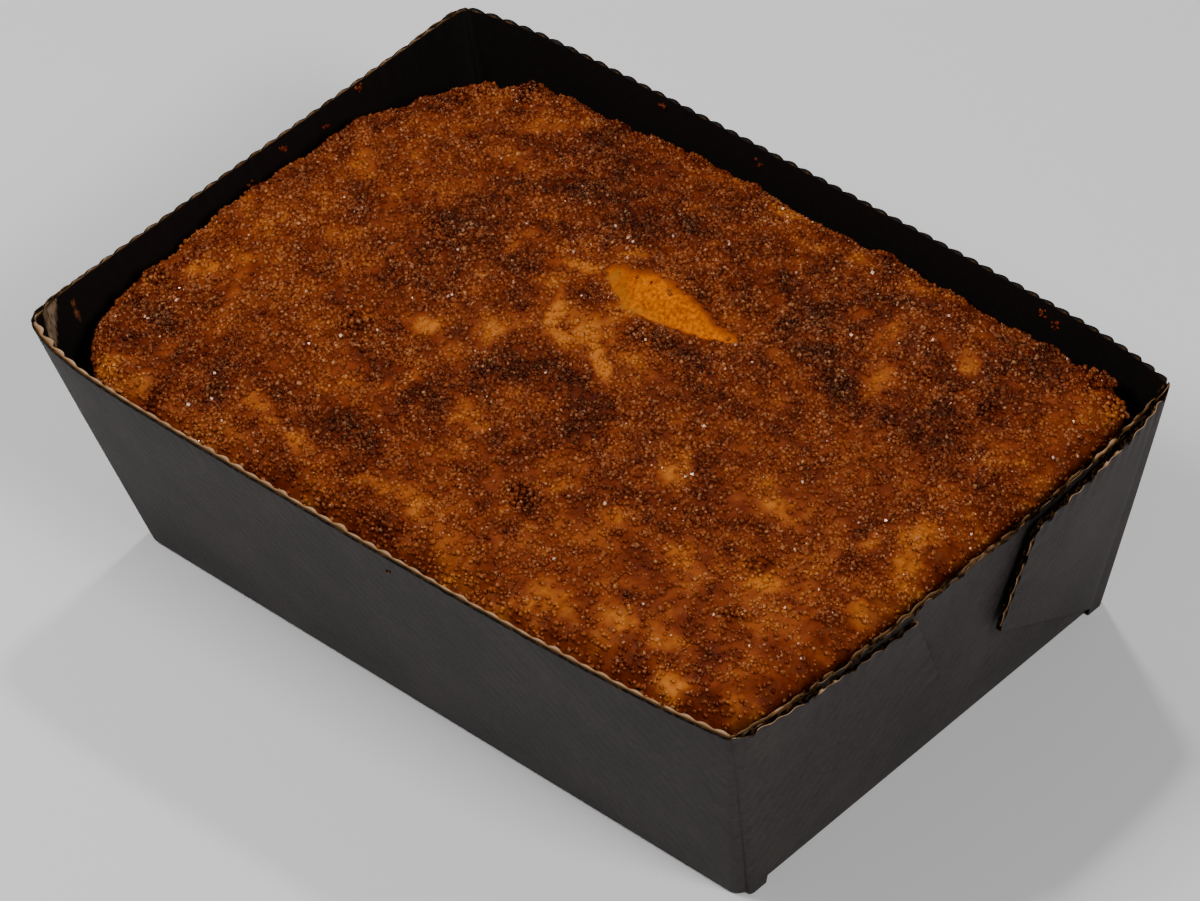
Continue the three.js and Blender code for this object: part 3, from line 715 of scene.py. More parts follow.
# Clumps of sugar that stand up from the crust, most of them along the rear edge: x, y, radius, height
clumps = [
    (-71, 31, 1.8, 0.8),
    (-67, 35.5, 2.0, 1.0),
    (-65, 40.5, 1.7, 1.5),
    (-58.5, 45.0, 2.6, 1.7),
    (-52, 45.5, 2.2, 1.2),
    (-43, 48.5, 2.4, 1.2),
    (-24, 49.5, 2.2, 0.8),
    (-12, 50.5, 3.0, 0.8),
    (20, 50, 3.0, 0.9),
    (34, 50, 2.6, 0.8),
    (51.5, 48.5, 2.6, 1.3),
    (59, 49.5, 3.4, 1.6),
    (66, 50, 2.0, 1.4),
    (69.5, 49.5, 2.4, 2.0),
    (77, 46, 2.4, 1.2),
    (-75, 15, 2.0, 0.7),
    (-77, 2, 2.0, 0.6),
    (-76, -30, 2.2, 0.9),
    (-75, -36, 1.6, 0.7),
    (58, -21, 2.6, 0.6),
    (62, -32, 2.4, 0.6),
    (-36, -20, 3.0, 0.6),
    (-42, 6, 3.0, 0.5),
    (16, -33, 3.4, 0.6),
    (48, 30, 2.0, 0.5),
    (62, 30, 2.0, 0.5),
]
# Hollows that the rear edge has sunk to between them: x, y, half length, half width, depth
hollows = [
    (-3, 50, 16, 9, 1.3),
    (12, 48, 8, 7, 0.8),
    (-44, 50, 13, 7, 2.4),
    (52, 51, 17, 6, 1.9),
    (-76, 8, 5, 9, 0.7),
    (-74, 30, 6, 8, 1.3),
    (40, 18, 10, 3, 0.9),
]
clumpReach = 1.35  # in radii, down to nothing


def clumpRelief(x, y):
    # the highest of the rounded mounds, less the wide hollows
    total = np.zeros(x.shape)
    for cx, cy, radius, height in clumps:
        far = np.hypot(x - cx, y - cy) / radius
        total = np.maximum(total, height * smooth(clumpReach - far))
    for cx, cy, long, wide, depth in hollows:
        total = total - depth * np.exp(-(((x - cx) / long) ** 2) - ((y - cy) / wide) ** 2)
    return total


# Grain of the baked crust: noise as height, size in mm, seed, layers
crustGrain = {
    "knobs": (0.52, 4.6, 20, 3),
    "fine": (0.17, 1.3, 30, 2),
    "pores": (1, 1.4, 44, 2),
    "wrinkles": (0.1, 2.2, 48, 2),
    "poreDepth": 0.3,
    "rougherRim": 0.8,  # how much rougher the shoulders are
    "calmGolden": 0.5,  # and how much calmer golden and bare places
    "calmBare": 0.75,
    "sink": 0.35,  # of the whole surface, so that the grains make up the solid's height
}


def crustDetail(x, y, edge):
    # knobs and fine grain, rougher on the shoulders, calm on the bare slope, with its pores and wrinkles
    bare = bareCrumb(x, y)
    grain = crustGrain
    rough = 1 + grain["rougherRim"] * rise(edge, 9, -6)
    rough = rough * (1 - grain["calmGolden"] * patchField(goldenPatches, x, y))
    pores = -grain["poreDepth"] * rise(noiseFrom(grain["pores"], x, y), 0.3, 0.3) * bare
    wrinkles = noiseFrom(grain["wrinkles"], x + 0.3 * y, 2.5 * y - x) * bare
    knobbly = noiseFrom(grain["knobs"], x, y) + noiseFrom(grain["fine"], x, y)
    relief = knobbly * rough * (1 - grain["calmBare"] * bare) + pores + wrinkles
    return relief * rise(edge, -1, 2.5) + clumpRelief(x, y) - grain["sink"]


def carriedOut(x, y):
    # the plan follows the walls' bow, less and less towards the middle
    halfLength, halfWidth, share = cake["halfLength"], cake["halfWidth"], cake["bowShare"]
    toLong = (np.abs(y) / halfWidth) ** cake["bowFalloff"]
    toShort = (np.abs(x) / halfLength) ** cake["bowFalloff"]
    alongX = np.clip(x / halfLength / 2 + 0.5, 0, 1)
    alongY = np.clip(y / halfWidth / 2 + 0.5, 0, 1)
    front, right, back, left = (np.full(x.shape, wall) for wall in range(4))
    longBow = np.where(y < 0, bowAt(front, alongX), bowAt(back, 1 - alongX))
    shortBow = np.where(x < 0, bowAt(left, 1 - alongY), bowAt(right, alongY))
    outX, outY = shortBow * share * toShort, longBow * share * toLong
    return cake["shift"] + x + np.sign(x) * outX, y + np.sign(y) * outY


def crustPoints(gx, gy):
    # grid lines near the split bend to run along it; then round the plan, carry it out and lift it
    foot = splitAt(gx)[0]
    past = np.maximum(0, np.maximum(split["x"][0] - gx, gx - split["x"][-1]))
    reachX, reachY = split["bend"]
    near = np.exp(-((past / reachX) ** 2) - ((gy - split["centre"][1]) / reachY) ** 2)
    bent = gy + (foot - split["centre"][1]) * near * (1 - (gy / cake["halfWidth"]) ** 4)
    px, py, edge = roundedPlan(gx, bent)
    x, y = carriedOut(px, py)
    z = crustHeight(px, py, edge) + crustDetail(px, py, edge)
    return np.stack([x, y, z], -1), px, py, edge


def gridLines(half, count, centre, reach):
    # lines closer together at both ends and round a centre: equal steps of the summed density
    closer = cake["closer"]
    x = np.linspace(-half, half, closer["samples"])
    density = 1 + closer["atEnds"] * np.exp(-(((np.abs(x) - half) / closer["endReach"]) ** 2))
    density = density + closer["atSplit"] * np.exp(-(((x - centre) / reach) ** 2))
    total = np.concatenate([[0], np.cumsum((density[1:] + density[:-1]) / 2)])
    return np.interp(np.linspace(0, total[-1], count + 1), total, x)


blobShape = {"reach": 1.7, "fade": 1.4, "ragged": (0.6, 3.2, 60, 4)}  # in radii; all share one raggedness


def blob(x, y, cx, cy, long, wide, turn):
    # a soft oval patch, 1 in its middle, with a ragged outline
    a = math.radians(turn)
    u = ((x - cx) * math.cos(a) + (y - cy) * math.sin(a)) / long
    v = (-(x - cx) * math.sin(a) + (y - cy) * math.cos(a)) / wide
    inside = (blobShape["reach"] - np.hypot(u, v)) / blobShape["fade"]
    return smooth(inside + noiseFrom(blobShape["ragged"], x, y))


tornSlope = {
    "ragged": (0.9, 2.2, 71, 3),
    "start": (0.6, 0.9),  # the bare crumb fades in at this distance behind the foot, over this width,
    "end": (0.9, 3.2),  # and out past the slope's width in the same way
    "leastStep": 0.15,
    "leftEnd": 0.72,  # share of it that shows at the left end
}


def bareCrumb(x, y):
    # the torn slope of the split
    foot, width, step = splitAt(x)
    d = y - foot
    ragged = noiseFrom(tornSlope["ragged"], x, y)
    (start, fadeIn), (end, fadeOut) = tornSlope["start"], tornSlope["end"]
    inside = smooth((d - start + ragged * 0.5) / fadeIn) * smooth((width + end - d + ragged) / fadeOut)
    least = tornSlope["leftEnd"]
    return inside * rise(step, tornSlope["leastStep"], 0.5) * (least + (1 - least) * rise(x, -6, 6))


# Patches where the golden crust shows through thin sugar: x, y, half length, half width, turn, strength
goldenPatches = [
    (-9, 8, 15, 11, 0, 0.35),
    (20, -38, 40, 10, 0, 0.25),
    (60, -5, 18, 34, 0, 0.25),
    (-60, 10, 16, 30, 0, 0.2),
    (-14.8, 13.4, 3.2, 1.6, 10, 1.1),
    (-10, 20.3, 4.6, 1.9, 0, 0.9),
    (-10, 1.8, 4.8, 1.6, -66, 1.25),
    (-3.4, 3.8, 5.4, 1.8, 88, 1.15),
    (-6.2, -1.2, 3.4, 1.4, 0, 0.9),
    (-16, 7.5, 4, 1.2, -45, 0.6),
    (5.5, -3.2, 5.4, 1.2, -32, 1.15),
    (9.5, 0.5, 3, 0.9, -5, 0.6),
    (-15, -8.5, 3.5, 2.0, -60, 0.6),
    (-66, 12, 6, 3, -30, 0.75),
    (-60, 17, 8, 3.4, -10, 0.5),
    (-49, 40.5, 7.5, 2.5, 42, 0.75),
    (-46, 29, 5, 3, -20, 0.6),
    (-62, 28, 9, 5, 20, 0.45),
    (-28.5, 11, 3.6, 1.9, 75, 0.75),
    (-25.5, -14, 3.2, 2.2, -10, 1.0),
    (-34.5, -18, 2.5, 1.2, 0, 0.6),
    (-4.5, -25, 4.5, 3, -20, 0.75),
    (-70, -25, 3, 2.6, 0, 0.85),
    (-64.5, -19, 3, 1.2, 25, 0.5),
    (-57.5, -25.5, 2.5, 1.5, 0, 0.5),
    (-37, -43, 4.5, 2.5, -10, 0.85),
    (-25.5, -45, 3.4, 1.8, -45, 0.95),
    (-7.5, -45.5, 3.5, 2.2, 10, 0.85),
    (-2, -43, 3, 2, -20, 0.65),
    (-61, -41, 3.5, 1.5, 70, 0.55),
    (-69, -49, 3, 2, 0, 0.6),
    (-60, -50, 3, 1.8, 0, 0.6),
    (-47.5, -11.5, 2, 1.2, 0, 0.5),
    (-29.5, 20.5, 2, 1.2, 0, 0.5),
    (-20.5, -22.5, 4, 1.5, -15, 0.5),
    (-1, 49, 4, 1.5, -15, 0.75),
    (-12, 38, 2.5, 1.2, 30, 0.45),
    (33.5, -13.5, 3.5, 2.5, -30, 0.9),
    (22, -15.5, 2, 1.8, 0, 0.6),
    (20, -26, 4, 1.8, 80, 0.75),
    (32.5, -27.8, 3.8, 1.8, -5, 1.0),
    (46, -27.5, 7, 2, -5, 0.55),
    (61.5, -22.5, 3, 1.5, 20, 0.7),
    (54, -10.5, 4.5, 2, 0, 0.8),
    (67.5, -5, 2.6, 1.8, 20, 0.8),
    (76, -5, 5, 3, -20, 0.8),
    (72.5, 3, 4, 2, -60, 0.65),
    (70, 23, 12, 2, 90, 0.7),
    (68.5, 11.5, 3, 2.5, 0, 0.6),
    (42, 26, 6, 3.6, -50, 0.95),
    (37, 33, 4.5, 2, -65, 0.75),
    (29, 34.5, 2.3, 1.8, 0, 0.85),
    (51.5, 37.5, 3.5, 1.8, -50, 0.8),
    (33, 48, 5, 1.6, 20, 0.7),
    (49, 44.5, 4, 1.6, -15, 0.6),
    (9, 44, 6, 3, -30, 0.45),
    (17.5, 46.5, 3, 1.6, 30, 0.6),
    (14, 38, 3, 2, -45, 0.4),
    (62, 39.5, 3, 1.8, 0, 0.6),
    (26, 18, 3.2, 1.4, -5, 0.65),
    (40, 13.5, 2.5, 1.8, 0, 0.45),
    (48.5, 5, 4, 1.2, 85, 0.5),
    (25, -4, 3, 2, 0, 0.4),
    (56.5, 5, 2.5, 1.8, 0, 0.5),
    (36, -46, 6, 3, -20, 0.8),
    (46.5, -43, 4.5, 2.5, 0, 0.8),
    (56, -43, 4, 3, 0, 0.7),
    (64.5, -48, 3, 2, 0, 1.0),
    (76, -44, 3, 2.5, 0, 0.6),
    (18.5, -42, 2.5, 1.2, -20, 0.6),
    (3, -45, 4, 2, -30, 0.65),
    (54, -38, 2.5, 1.8, 0, 0.5),
    (44.5, -36.5, 2.2, 2.2, 0, 0.55),
    (71.5, -23.5, 3, 1.2, 60, 0.5),
    (77, -17.5, 3, 2, 0, 0.6),
    (74, 31, 13, 11, 0, 0.42),
    (-2.6, 4.2, 6.5, 4.5, 60, 0.8),
]
# and where the sugar lies thick and has browned to almost black
darkPatches = [
    (12.5, -14, 6.2, 3.8, -40, 1.0),
    (3, -9, 5, 1.8, -15, 0.85),
    (-5.5, -13, 5.5, 3.4, 0, 0.85),
    (-13, -26, 4, 3, -30, 0.85),
    (-19, -37.5, 9, 2.5, -10, 0.7),
    (-33, -24, 6, 3, -20, 0.6),
    (-55, -14, 5.5, 3, -25, 0.6),
    (-22, 5, 7.5, 4, -60, 0.8),
    (-42, 8.5, 4, 2, -10, 0.75),
    (-60, 6.5, 3, 2.5, 0, 0.5),
    (-43, 25, 4, 2.5, -15, 0.6),
    (-35.5, 25, 1.7, 1.1, 0, 0.95),
    (-14.5, 27, 3.5, 2.6, 0, 0.9),
    (-8.5, 33, 5, 2, -15, 0.85),
    (-26, 16, 3, 4, 0, 0.55),
    (17, 31.5, 6.5, 2.1, -10, 0.8),
    (21.5, 25.5, 2, 2, 0, 0.7),
    (36, 20, 9.5, 2.6, -22, 1.0),
    (45, 16, 3, 1.6, 0, 0.9),
    (51, 18, 4, 2, 0, 0.65),
    (60.5, 18, 4, 3, 60, 0.6),
    (40, 4.5, 5, 2.2, -70, 0.8),
    (34.5, -21.5, 6.2, 1.8, 5, 0.8),
    (40, -15.5, 2.8, 1.6, 0, 0.65),
    (17, -33.5, 4.5, 2, -15, 0.65),
    (70, -11.5, 4.5, 2, -10, 0.55),
    (65.5, -5, 1.2, 1.6, 0, 0.8),
    (25, -47.5, 4.5, 2.5, 0, 0.6),
    (77, -25, 2.5, 1.5, 0, 0.65),
    (13, 7.5, 6.5, 2, 0, 0.65),
    (-8.5, 9, 2.8, 2.4, 0, 0.85),
    (-65, -37.5, 4, 2, 0, 0.45),
    (-46, -46.5, 4.5, 2.5, 0, 0.55),
    (51.5, 33, 2.5, 1.3, 0, 0.5),
    (47.5, -34, 2.5, 1.5, 0, 0.5),
    (-33, -18.3, 1.4, 0.8, 0, 0.9),
]


def patchField(patches, x, y):
    # the strongest patch at each point, looked for only near each patch
    total = np.zeros(np.shape(x))
    for cx, cy, long, wide, turn, strength in patches:
        reach = 2 * long + 3
        near = (np.abs(x - cx) < reach) & (np.abs(y - cy) < reach)
        total[near] = np.maximum(total[near], strength * blob(x[near], y[near], cx, cy, long, wide, turn))
    return total


# Tone of the crust, from 0 (almost black) to 1 (light golden): its middle, the pull of the golden and dark
# patches, noise of a few millimetres and blotches within it, painted light along the rim, painted shade over
# the rear half
bake = {
    "middle": 0.41,
    "golden": 0.49,
    "dark": 0.25,
    "mottle": (0.33, 8, 81, 5),
    "blotch": (0.25, 3.1, 87, 3),
    "rim": 0.05,
    "rear": 0.1,
    "darkAtRim": 0.5,  # share of the dark patches that the rim takes away
    "goldenInDark": 0.7,  # share of the golden ones that dark ones take away
}


def crustFields(x, y, edge):
    # tone, golden share and dark share of the crust
    rim = rise(edge, 10, -8)
    dark = patchField(darkPatches, x, y) * (1 - bake["darkAtRim"] * rim)
    golden = patchField(goldenPatches, x, y) * (1 - bake["goldenInDark"] * dark)
    tone = bake["middle"] + bake["golden"] * golden - bake["dark"] * dark + noiseFrom(bake["mottle"], x, y)
    # painted shade: darker over the rear half
    tone = tone + noiseFrom(bake["blotch"], x, y) - bake["rear"] * rise(y, 5, 35)
    # painted light: lighter along the rim
    return np.clip(tone + bake["rim"] * rim, 0, 1), golden, dark


filmNoise = (0.8, 2.1, 92, 3)


def filmField(x, y):
    # the pale film along the left part of the slope's foot, streaked across
    d = y - splitAt(x)[0]
    reach = rise(x, -10, 2) * rise(x, 8.5, -7)
    strip = rise(d, 0.2, 0.7) * smooth((3.6 - d - 0.15 * x) / 2)
    streaks = 0.5 + noiseFrom(filmNoise, x + y, 2 * (y - x))
    return np.clip(reach * strip * streaks, 0, 1)


def cakeBody(material):
    # the crust as a grid, then rings down the sides, following the paper, to the flat base
    xs = gridLines(cake["halfLength"], cake["columns"], split["centre"][0], cake["closer"]["reachX"])
    ys = gridLines(cake["halfWidth"], cake["rows"], split["centre"][1], cake["closer"]["reachY"])
    gx, gy = np.meshgrid(xs, ys, indexing="ij")
    top, px, py, edge = crustPoints(gx, gy)
    index = np.arange(gx.size).reshape(gx.shape)
    quads = np.stack([index[:-1, :-1], index[1:, :-1], index[1:, 1:], index[:-1, 1:]], -1).reshape(-1, 4)
    # the grid's border as one loop, and the walls and places of the tray that it faces
    border = np.concatenate([index[:-1, 0], index[-1, :-1], index[:0:-1, -1], index[0, :0:-1]])
    nx, ny = len(xs) - 1, len(ys) - 1
    wall = np.repeat([0, 1, 2, 3], [nx, ny, nx, ny])
    shareX, shareY = xs / cake["halfLength"] / 2 + 0.5, ys / cake["halfWidth"] / 2 + 0.5
    u = np.concatenate([shareX[:-1], shareY[:-1], 1 - shareX[:0:-1], 1 - shareY[:0:-1]])
    paper, low, rounding = tray["paper"], cake["lowerCorner"], cake["baseRounding"]
    gap = paper + cake["clearance"]
    ring = lambda z, extra, radius: wallPoints(wall, u, z / tray["height"], gap + extra, radius, paper)
    high = ring(cake["sideHeight"], 0, low + cake["cornerGrowth"])
    rings = [lerp(top.reshape(-1, 3)[border], high, t) for t in (0.25, 0.6)]
    rings += [high, ring(gap + rounding, 0, low), ring(gap, rounding, low)]
    points = [top.reshape(-1, 3)]
    faces = [quads]
    above = border
    count = gx.size
    for loop in rings:
        below = count + np.arange(len(loop))
        nextAbove, nextBelow = np.roll(above, -1), np.roll(below, -1)
        faces.append(np.stack([below, nextBelow, nextAbove, above], -1))
        points.append(loop)
        above = below
        count += len(loop)
    points.append(np.array([[0, 0, gap]]))
    faces.append(fanFaces(above, count, False))
    piece = makePiece("cakeBody", np.concatenate(points), faces, material, "cake")
    tone = crustFields(top[..., 0], top[..., 1], edge)[0]
    rest = np.zeros(count + 1 - gx.size)
    paintPoints(piece, "tone", np.concatenate([tone.ravel(), rest + bake["middle"]]))
    paintPoints(piece, "bare", np.concatenate([bareCrumb(px, py).ravel(), rest]))
    paintPoints(piece, "film", np.concatenate([filmField(px, py).ravel(), rest]))
    # the sugar's cover, which the crust material turns into painted shade under the grains
    sugared = np.clip(1.2 * sugarCover(px, py, top, edge), 0, 1)
    paintPoints(piece, "sugared", np.concatenate([sugared.ravel(), rest]))
    return piece


crustLook = {
    # tone and colour, from burnt sugar to the golden crust under it
    "ramp": [
        (0.0, (0.034, 0.0036, 0.0003)),
        (0.2, (0.082, 0.008, 0.0005)),
        (0.4, (0.145, 0.0175, 0.0014)),
        (0.6, (0.225, 0.037, 0.0042)),
        (0.8, (0.34, 0.08, 0.0085)),
        (1.0, (0.52, 0.155, 0.018)),
    ],
    "fine": 0.14,  # sway of the tone at half a millimetre
    "medium": 0.3,  # and at two millimetres
    "fineGrain": (1400, 4, 0.6),  # scale, detail and roughness of the noise for both
    "mediumGrain": (420, 4, 0.6),
    "crumb": (0.74, 0.185, 0.003),
    "crumbShade": (0.36, 0.068, 0.0015),
    "film": (0.36, 0.15, 0.02),
    "sheen": (1.0, 0.7, 0.5),  # of the crust's gloss
    # painted highlight colour for the sugar grains' glinting corners
    "glint": (0.6, 0.27, 0.11),
}


def crustNoise(m):
    # the fine and the medium noise that the crust and the grains share
    return m.noise(*crustLook["fineGrain"]), m.noise(*crustLook["mediumGrain"])


def crustTone(m, fine, medium):
    # the tone attribute swayed by noise, looked up in the ramp
    tone = m.attribute("tone")
    for noise, sway in ((fine, crustLook["fine"]), (medium, crustLook["medium"])):
        tone = m.math("MULTIPLY_ADD", m.span(noise, -0.5, 0.5, 0.25, 0.75), sway, tone)
    ramp = m.add("ShaderNodeValToRGB", Fac=tone)
    stops = ramp.color_ramp.elements
    while len(stops) < len(crustLook["ramp"]):
        stops.new(0.5)
    for stop, (place, colour) in zip(stops, crustLook["ramp"]):
        stop.position, stop.color = place, (*colour, 1)
    return ramp.outputs["Color"]


def crustMaterial():
    # baked colours by tone, with painted shade that makes it a little darker under the sugar grains, with
    # bare crumb and the pale film over them
    m = Nodes("bakedCrust")
    fine, medium = crustNoise(m)
    tone = crustTone(m, fine, medium)
    # painted shade: the crust under and between the sugar grains is darkened by the sugar's cover
    under = m.add("ShaderNodeVectorMath", {"operation": "SCALE"}, Vector=tone,
                  Scale=m.span(m.attribute("sugared"), 1.0, 0.9))
    crumb = m.mix(m.span(fine, 0, 1, 0.38, 0.62), crustLook["crumb"], crustLook["crumbShade"])
    bare = m.attribute("bare")
    tone = m.mix(m.span(bare, 0, 1, 0.05, 0.75), under.outputs[0], crustLook["crumbShade"])
    tone = m.mix(m.span(bare, 0, 1, 0.45, 1.0), tone, crumb)
    film = m.math("MULTIPLY", m.attribute("film"), m.span(fine, 0.5, 1.0, 0.4, 0.6))
    tone = m.mix(film, tone, crustLook["film"])
    rough = m.bump(fine, 0.7, 0.25 * mm, m.bump(medium, 0.6, 0.4 * mm))
    return m.finish(Base_Color=tone, Roughness=m.span(fine, 0.3, 0.6), Normal=rough,
                    Specular_IOR_Level=m.span(bare, 0.12, 0.01), Specular_Tint=(*crustLook["sheen"], 1))


# Kinds of grain on the crust: how many at most, edge length in mm, how far they stand up in their own sizes,
# how their tone differs from the crust's, a colour of their own and how far it shows, the share of corners
# with a painted highlight, gloss, and whether their faces are flat
sugarKinds = {
    "sugarAmber": {"count": 15000, "size": (0.5, 0.85), "stand": (-0.15, 0.25), "seed": 101,
                   "shift": 0.09, "colour": (0.4, 0.14, 0.04), "own": 0.12, "glints": 0.035,
                   "roughness": 0.22, "specular": 0.25, "sheen": (1.0, 0.75, 0.55), "flat": False},
    "sugarBrown": {"count": 15000, "size": (0.5, 0.85), "stand": (-0.2, 0.2), "seed": 102,
                   "shift": 0.0, "colour": (0.2, 0.05, 0.01), "own": 0.1, "glints": 0.025,
                   "roughness": 0.22, "specular": 0.22, "sheen": (1.0, 0.7, 0.48), "flat": False},
    "sugarDark": {"count": 10000, "size": (0.5, 0.8), "stand": (-0.2, 0.15), "seed": 103,
                  "shift": -0.12, "colour": (0.06, 0.009, 0.001), "own": 0.1, "glints": 0.02,
                  "roughness": 0.2, "specular": 0.2, "sheen": (1.0, 0.66, 0.42), "flat": False},
    "sugarPale": {"count": 4000, "size": (0.35, 0.6), "stand": (0.15, 0.5), "seed": 104,
                  "shift": 0.2, "colour": (0.5, 0.2, 0.07), "own": 0.3, "glints": 0.1,
                  "roughness": 0.16, "specular": 0.32, "sheen": (1.0, 0.85, 0.7), "flat": True},
    "sugarSparks": {"count": 3500, "size": (0.18, 0.28), "stand": (0.3, 0.8), "seed": 105,
                    "shift": 0.25, "colour": (0.55, 0.26, 0.11), "own": 0.35, "glints": 0.2,
                    "roughness": 0.14, "specular": 0.6, "sheen": (1.0, 0.88, 0.78), "flat": True},
}


# Grains: shares of their size along the three edges, how much one end narrows or widens, how far the tone
# differs between grains and, as painted light and shade, between a grain's corners, and how bright its
# painted highlights are
grainShape = {"edges": (0.65, 1.0), "taper": (-0.25, 0.1)}
grainSway = {"grain": 0.08, "corner": 0.12, "glint": (0.4, 1)}


def grainTemplate():
    # a cuboid crystal: eight corners, twelve triangles
    corners = np.array([[x, y, z] for x in (-1, 1) for y in (-1, 1) for z in (-1, 1)]) / 2
    quads = np.array([[0, 1, 3, 2], [4, 6, 7, 5], [0, 4, 5, 1], [2, 3, 7, 6], [0, 2, 6, 4], [1, 5, 7, 3]])
    return corners, quads


def randomTurns(rng, count):
    # rotation matrices from random unit quaternions
    q = rng.normal(size=(count, 4))
    w, x, y, z = (q / np.linalg.norm(q, axis=1, keepdims=True)).T
    rows = [
        [1 - 2 * (y * y + z * z), 2 * (x * y - z * w), 2 * (x * z + y * w)],
        [2 * (x * y + z * w), 1 - 2 * (x * x + z * z), 2 * (y * z - x * w)],
        [2 * (x * z - y * w), 2 * (y * z + x * w), 1 - 2 * (x * x + y * y)],
    ]
    return np.moveaxis(np.array(rows), -1, 0)


def grainsAt(name, spots, sizes, rng, material, flat):
    # the template stretched, turned and moved to each spot, as one mesh
    corners, quads = grainTemplate()
    count = len(spots)
    stretch = sizes[:, None] * rng.uniform(*grainShape["edges"], (count, 3))
    bodies = corners[None] * stretch[:, None]
    taper = 1 + rng.uniform(*grainShape["taper"], (count, 1, 1)) * (corners[None, :, 2:] > 0)
    turned = np.einsum("nij,nkj->nki", randomTurns(rng, count), bodies * taper)
    points = (turned + spots[:, None]).reshape(-1, 3)
    faces = (quads[None] + 8 * np.arange(count)[:, None, None]).reshape(-1, 4)
    return makePiece(name, points, [faces], material, None, sharp=0 if flat else None)


sugarLook = {
    "tries": 4,  # grains thrown for each one wanted
    "clump": (1, 5, 91, 3),  # noise: height, size in mm, seed, layers
    "sparkle": (1, 7, 95, 3),
    "melt": (1, 14, 97, 3),
    "thinGolden": 0.55,  # share of the sugar missing on golden patches,
    "thinMelted": 0.55,  # where it has melted,
    "thinBare": 0.99,  # and on the bare slope
    "mounds": 0.8,  # more of it on clumps
    "share": 0.75,  # of the grains thrown that stay where the cover is full
    "normalStep": 0.4,  # mm
    "heaped": 1.5,  # grains on clumps stand up to this many sizes higher
    "refraction": 1.55,
}


def meltField(x, y):
    # towards the front right corner and in wide patches elsewhere the sugar has melted into a smooth crust
    corner = rise(x, 15, 45) * rise(y, -8, -30)
    return np.maximum(corner, rise(noiseFrom(sugarLook["melt"], x, y), 0.1, 0.35) * 0.35)


def sugarCover(px, py, spots, edge):
    # how densely the sugar lies: thin on golden patches, none on the bare slope, in loose clumps
    look = sugarLook
    golden = crustFields(spots[..., 0], spots[..., 1], edge)[1]
    clump = rise(noiseFrom(look["clump"], px, py), -0.55, 0.7)
    mounds = smooth(clumpRelief(spots[..., 0], spots[..., 1]) / 0.5)
    cover = (1 - look["thinGolden"] * smooth(golden)) * (0.5 + 0.5 * clump) + look["mounds"] * mounds
    cover = cover * (1 - look["thinMelted"] * meltField(px, py))
    return cover * (1 - look["thinBare"] * smooth(bareCrumb(px, py) * 2.4)) * rise(edge, -0.4, 1.5)


def sugarDensity(kind, px, py, spots, edge):
    # chance that a grain stays: dark ones on dark crust, light ones off it, glittering ones in clusters
    tone, _, dark = crustFields(spots[..., 0], spots[..., 1], edge)
    density = sugarCover(px, py, spots, edge) * sugarLook["share"]
    if kind == "sugarDark":
        density = density * (1 - smooth(tone / 0.6))
    if kind in ("sugarPale", "sugarAmber"):
        density = density * (1 - 0.4 * dark)
    if kind in ("sugarPale", "sugarSparks"):
        density = density * (0.25 + 1.6 * rise(noiseFrom(sugarLook["sparkle"], px, py), 0.02, 0.3))
    return density


def sugarPiece(name, spec):
    # grains thrown at random on the crust and kept by the density, part sunk along the surface's normal
    rng = np.random.default_rng(spec["seed"])
    halfLength, halfWidth, most = cake["halfLength"], cake["halfWidth"], spec["count"]
    tries = most * sugarLook["tries"]
    gx = rng.uniform(-1, 1, tries) * halfLength
    gy = rng.uniform(-1, 1, tries) * halfWidth
    spots, px, py, edge = crustPoints(gx, gy)
    keep = rng.uniform(0, 1, tries) < sugarDensity(name, px, py, spots, edge)
    tone = crustFields(spots[keep, 0], spots[keep, 1], edge[keep])[0][:most]
    gx, gy, spots = gx[keep][:most], gy[keep][:most], spots[keep][:most]
    step = sugarLook["normalStep"]
    alongX = crustPoints(np.clip(gx + step, -halfLength, halfLength), gy)[0] - spots
    alongY = crustPoints(gx, np.clip(gy + step, -halfWidth, halfWidth))[0] - spots
    normal = np.cross(alongX, alongY)
    length = np.linalg.norm(normal, axis=1, keepdims=True)
    normal = np.where(length > 1e-9, normal / np.maximum(length, 1e-9), [0, 0, 1])
    sizes = rng.uniform(*spec["size"], len(spots))
    stand = rng.uniform(*spec["stand"], len(spots))
    heaped = smooth(clumpRelief(spots[:, 0], spots[:, 1]) / 0.7)
    stand = stand + heaped * rng.uniform(0, sugarLook["heaped"], len(spots))
    spots = spots + normal * (sizes * stand)[:, None]
    piece = grainsAt(name, spots, sizes, rng, sugarMaterial(name, spec), spec["flat"])
    # every corner has its own tone, as light gathers on one side of a clear grain
    corners = len(spots) * 8
    perGrain = rng.uniform(-1, 1, len(spots)) * grainSway["grain"] + tone + spec["shift"]
    perCorner = rng.uniform(-1, 1, corners) * grainSway["corner"]
    paintPoints(piece, "tone", np.repeat(perGrain, 8) + perCorner)
    # painted highlights on a few corners of each kind of grain
    paintedGlintCorner = rng.uniform(0, 1, corners) < spec["glints"]
    paintPoints(piece, "glint", paintedGlintCorner * rng.uniform(*grainSway["glint"], corners))
    return piece


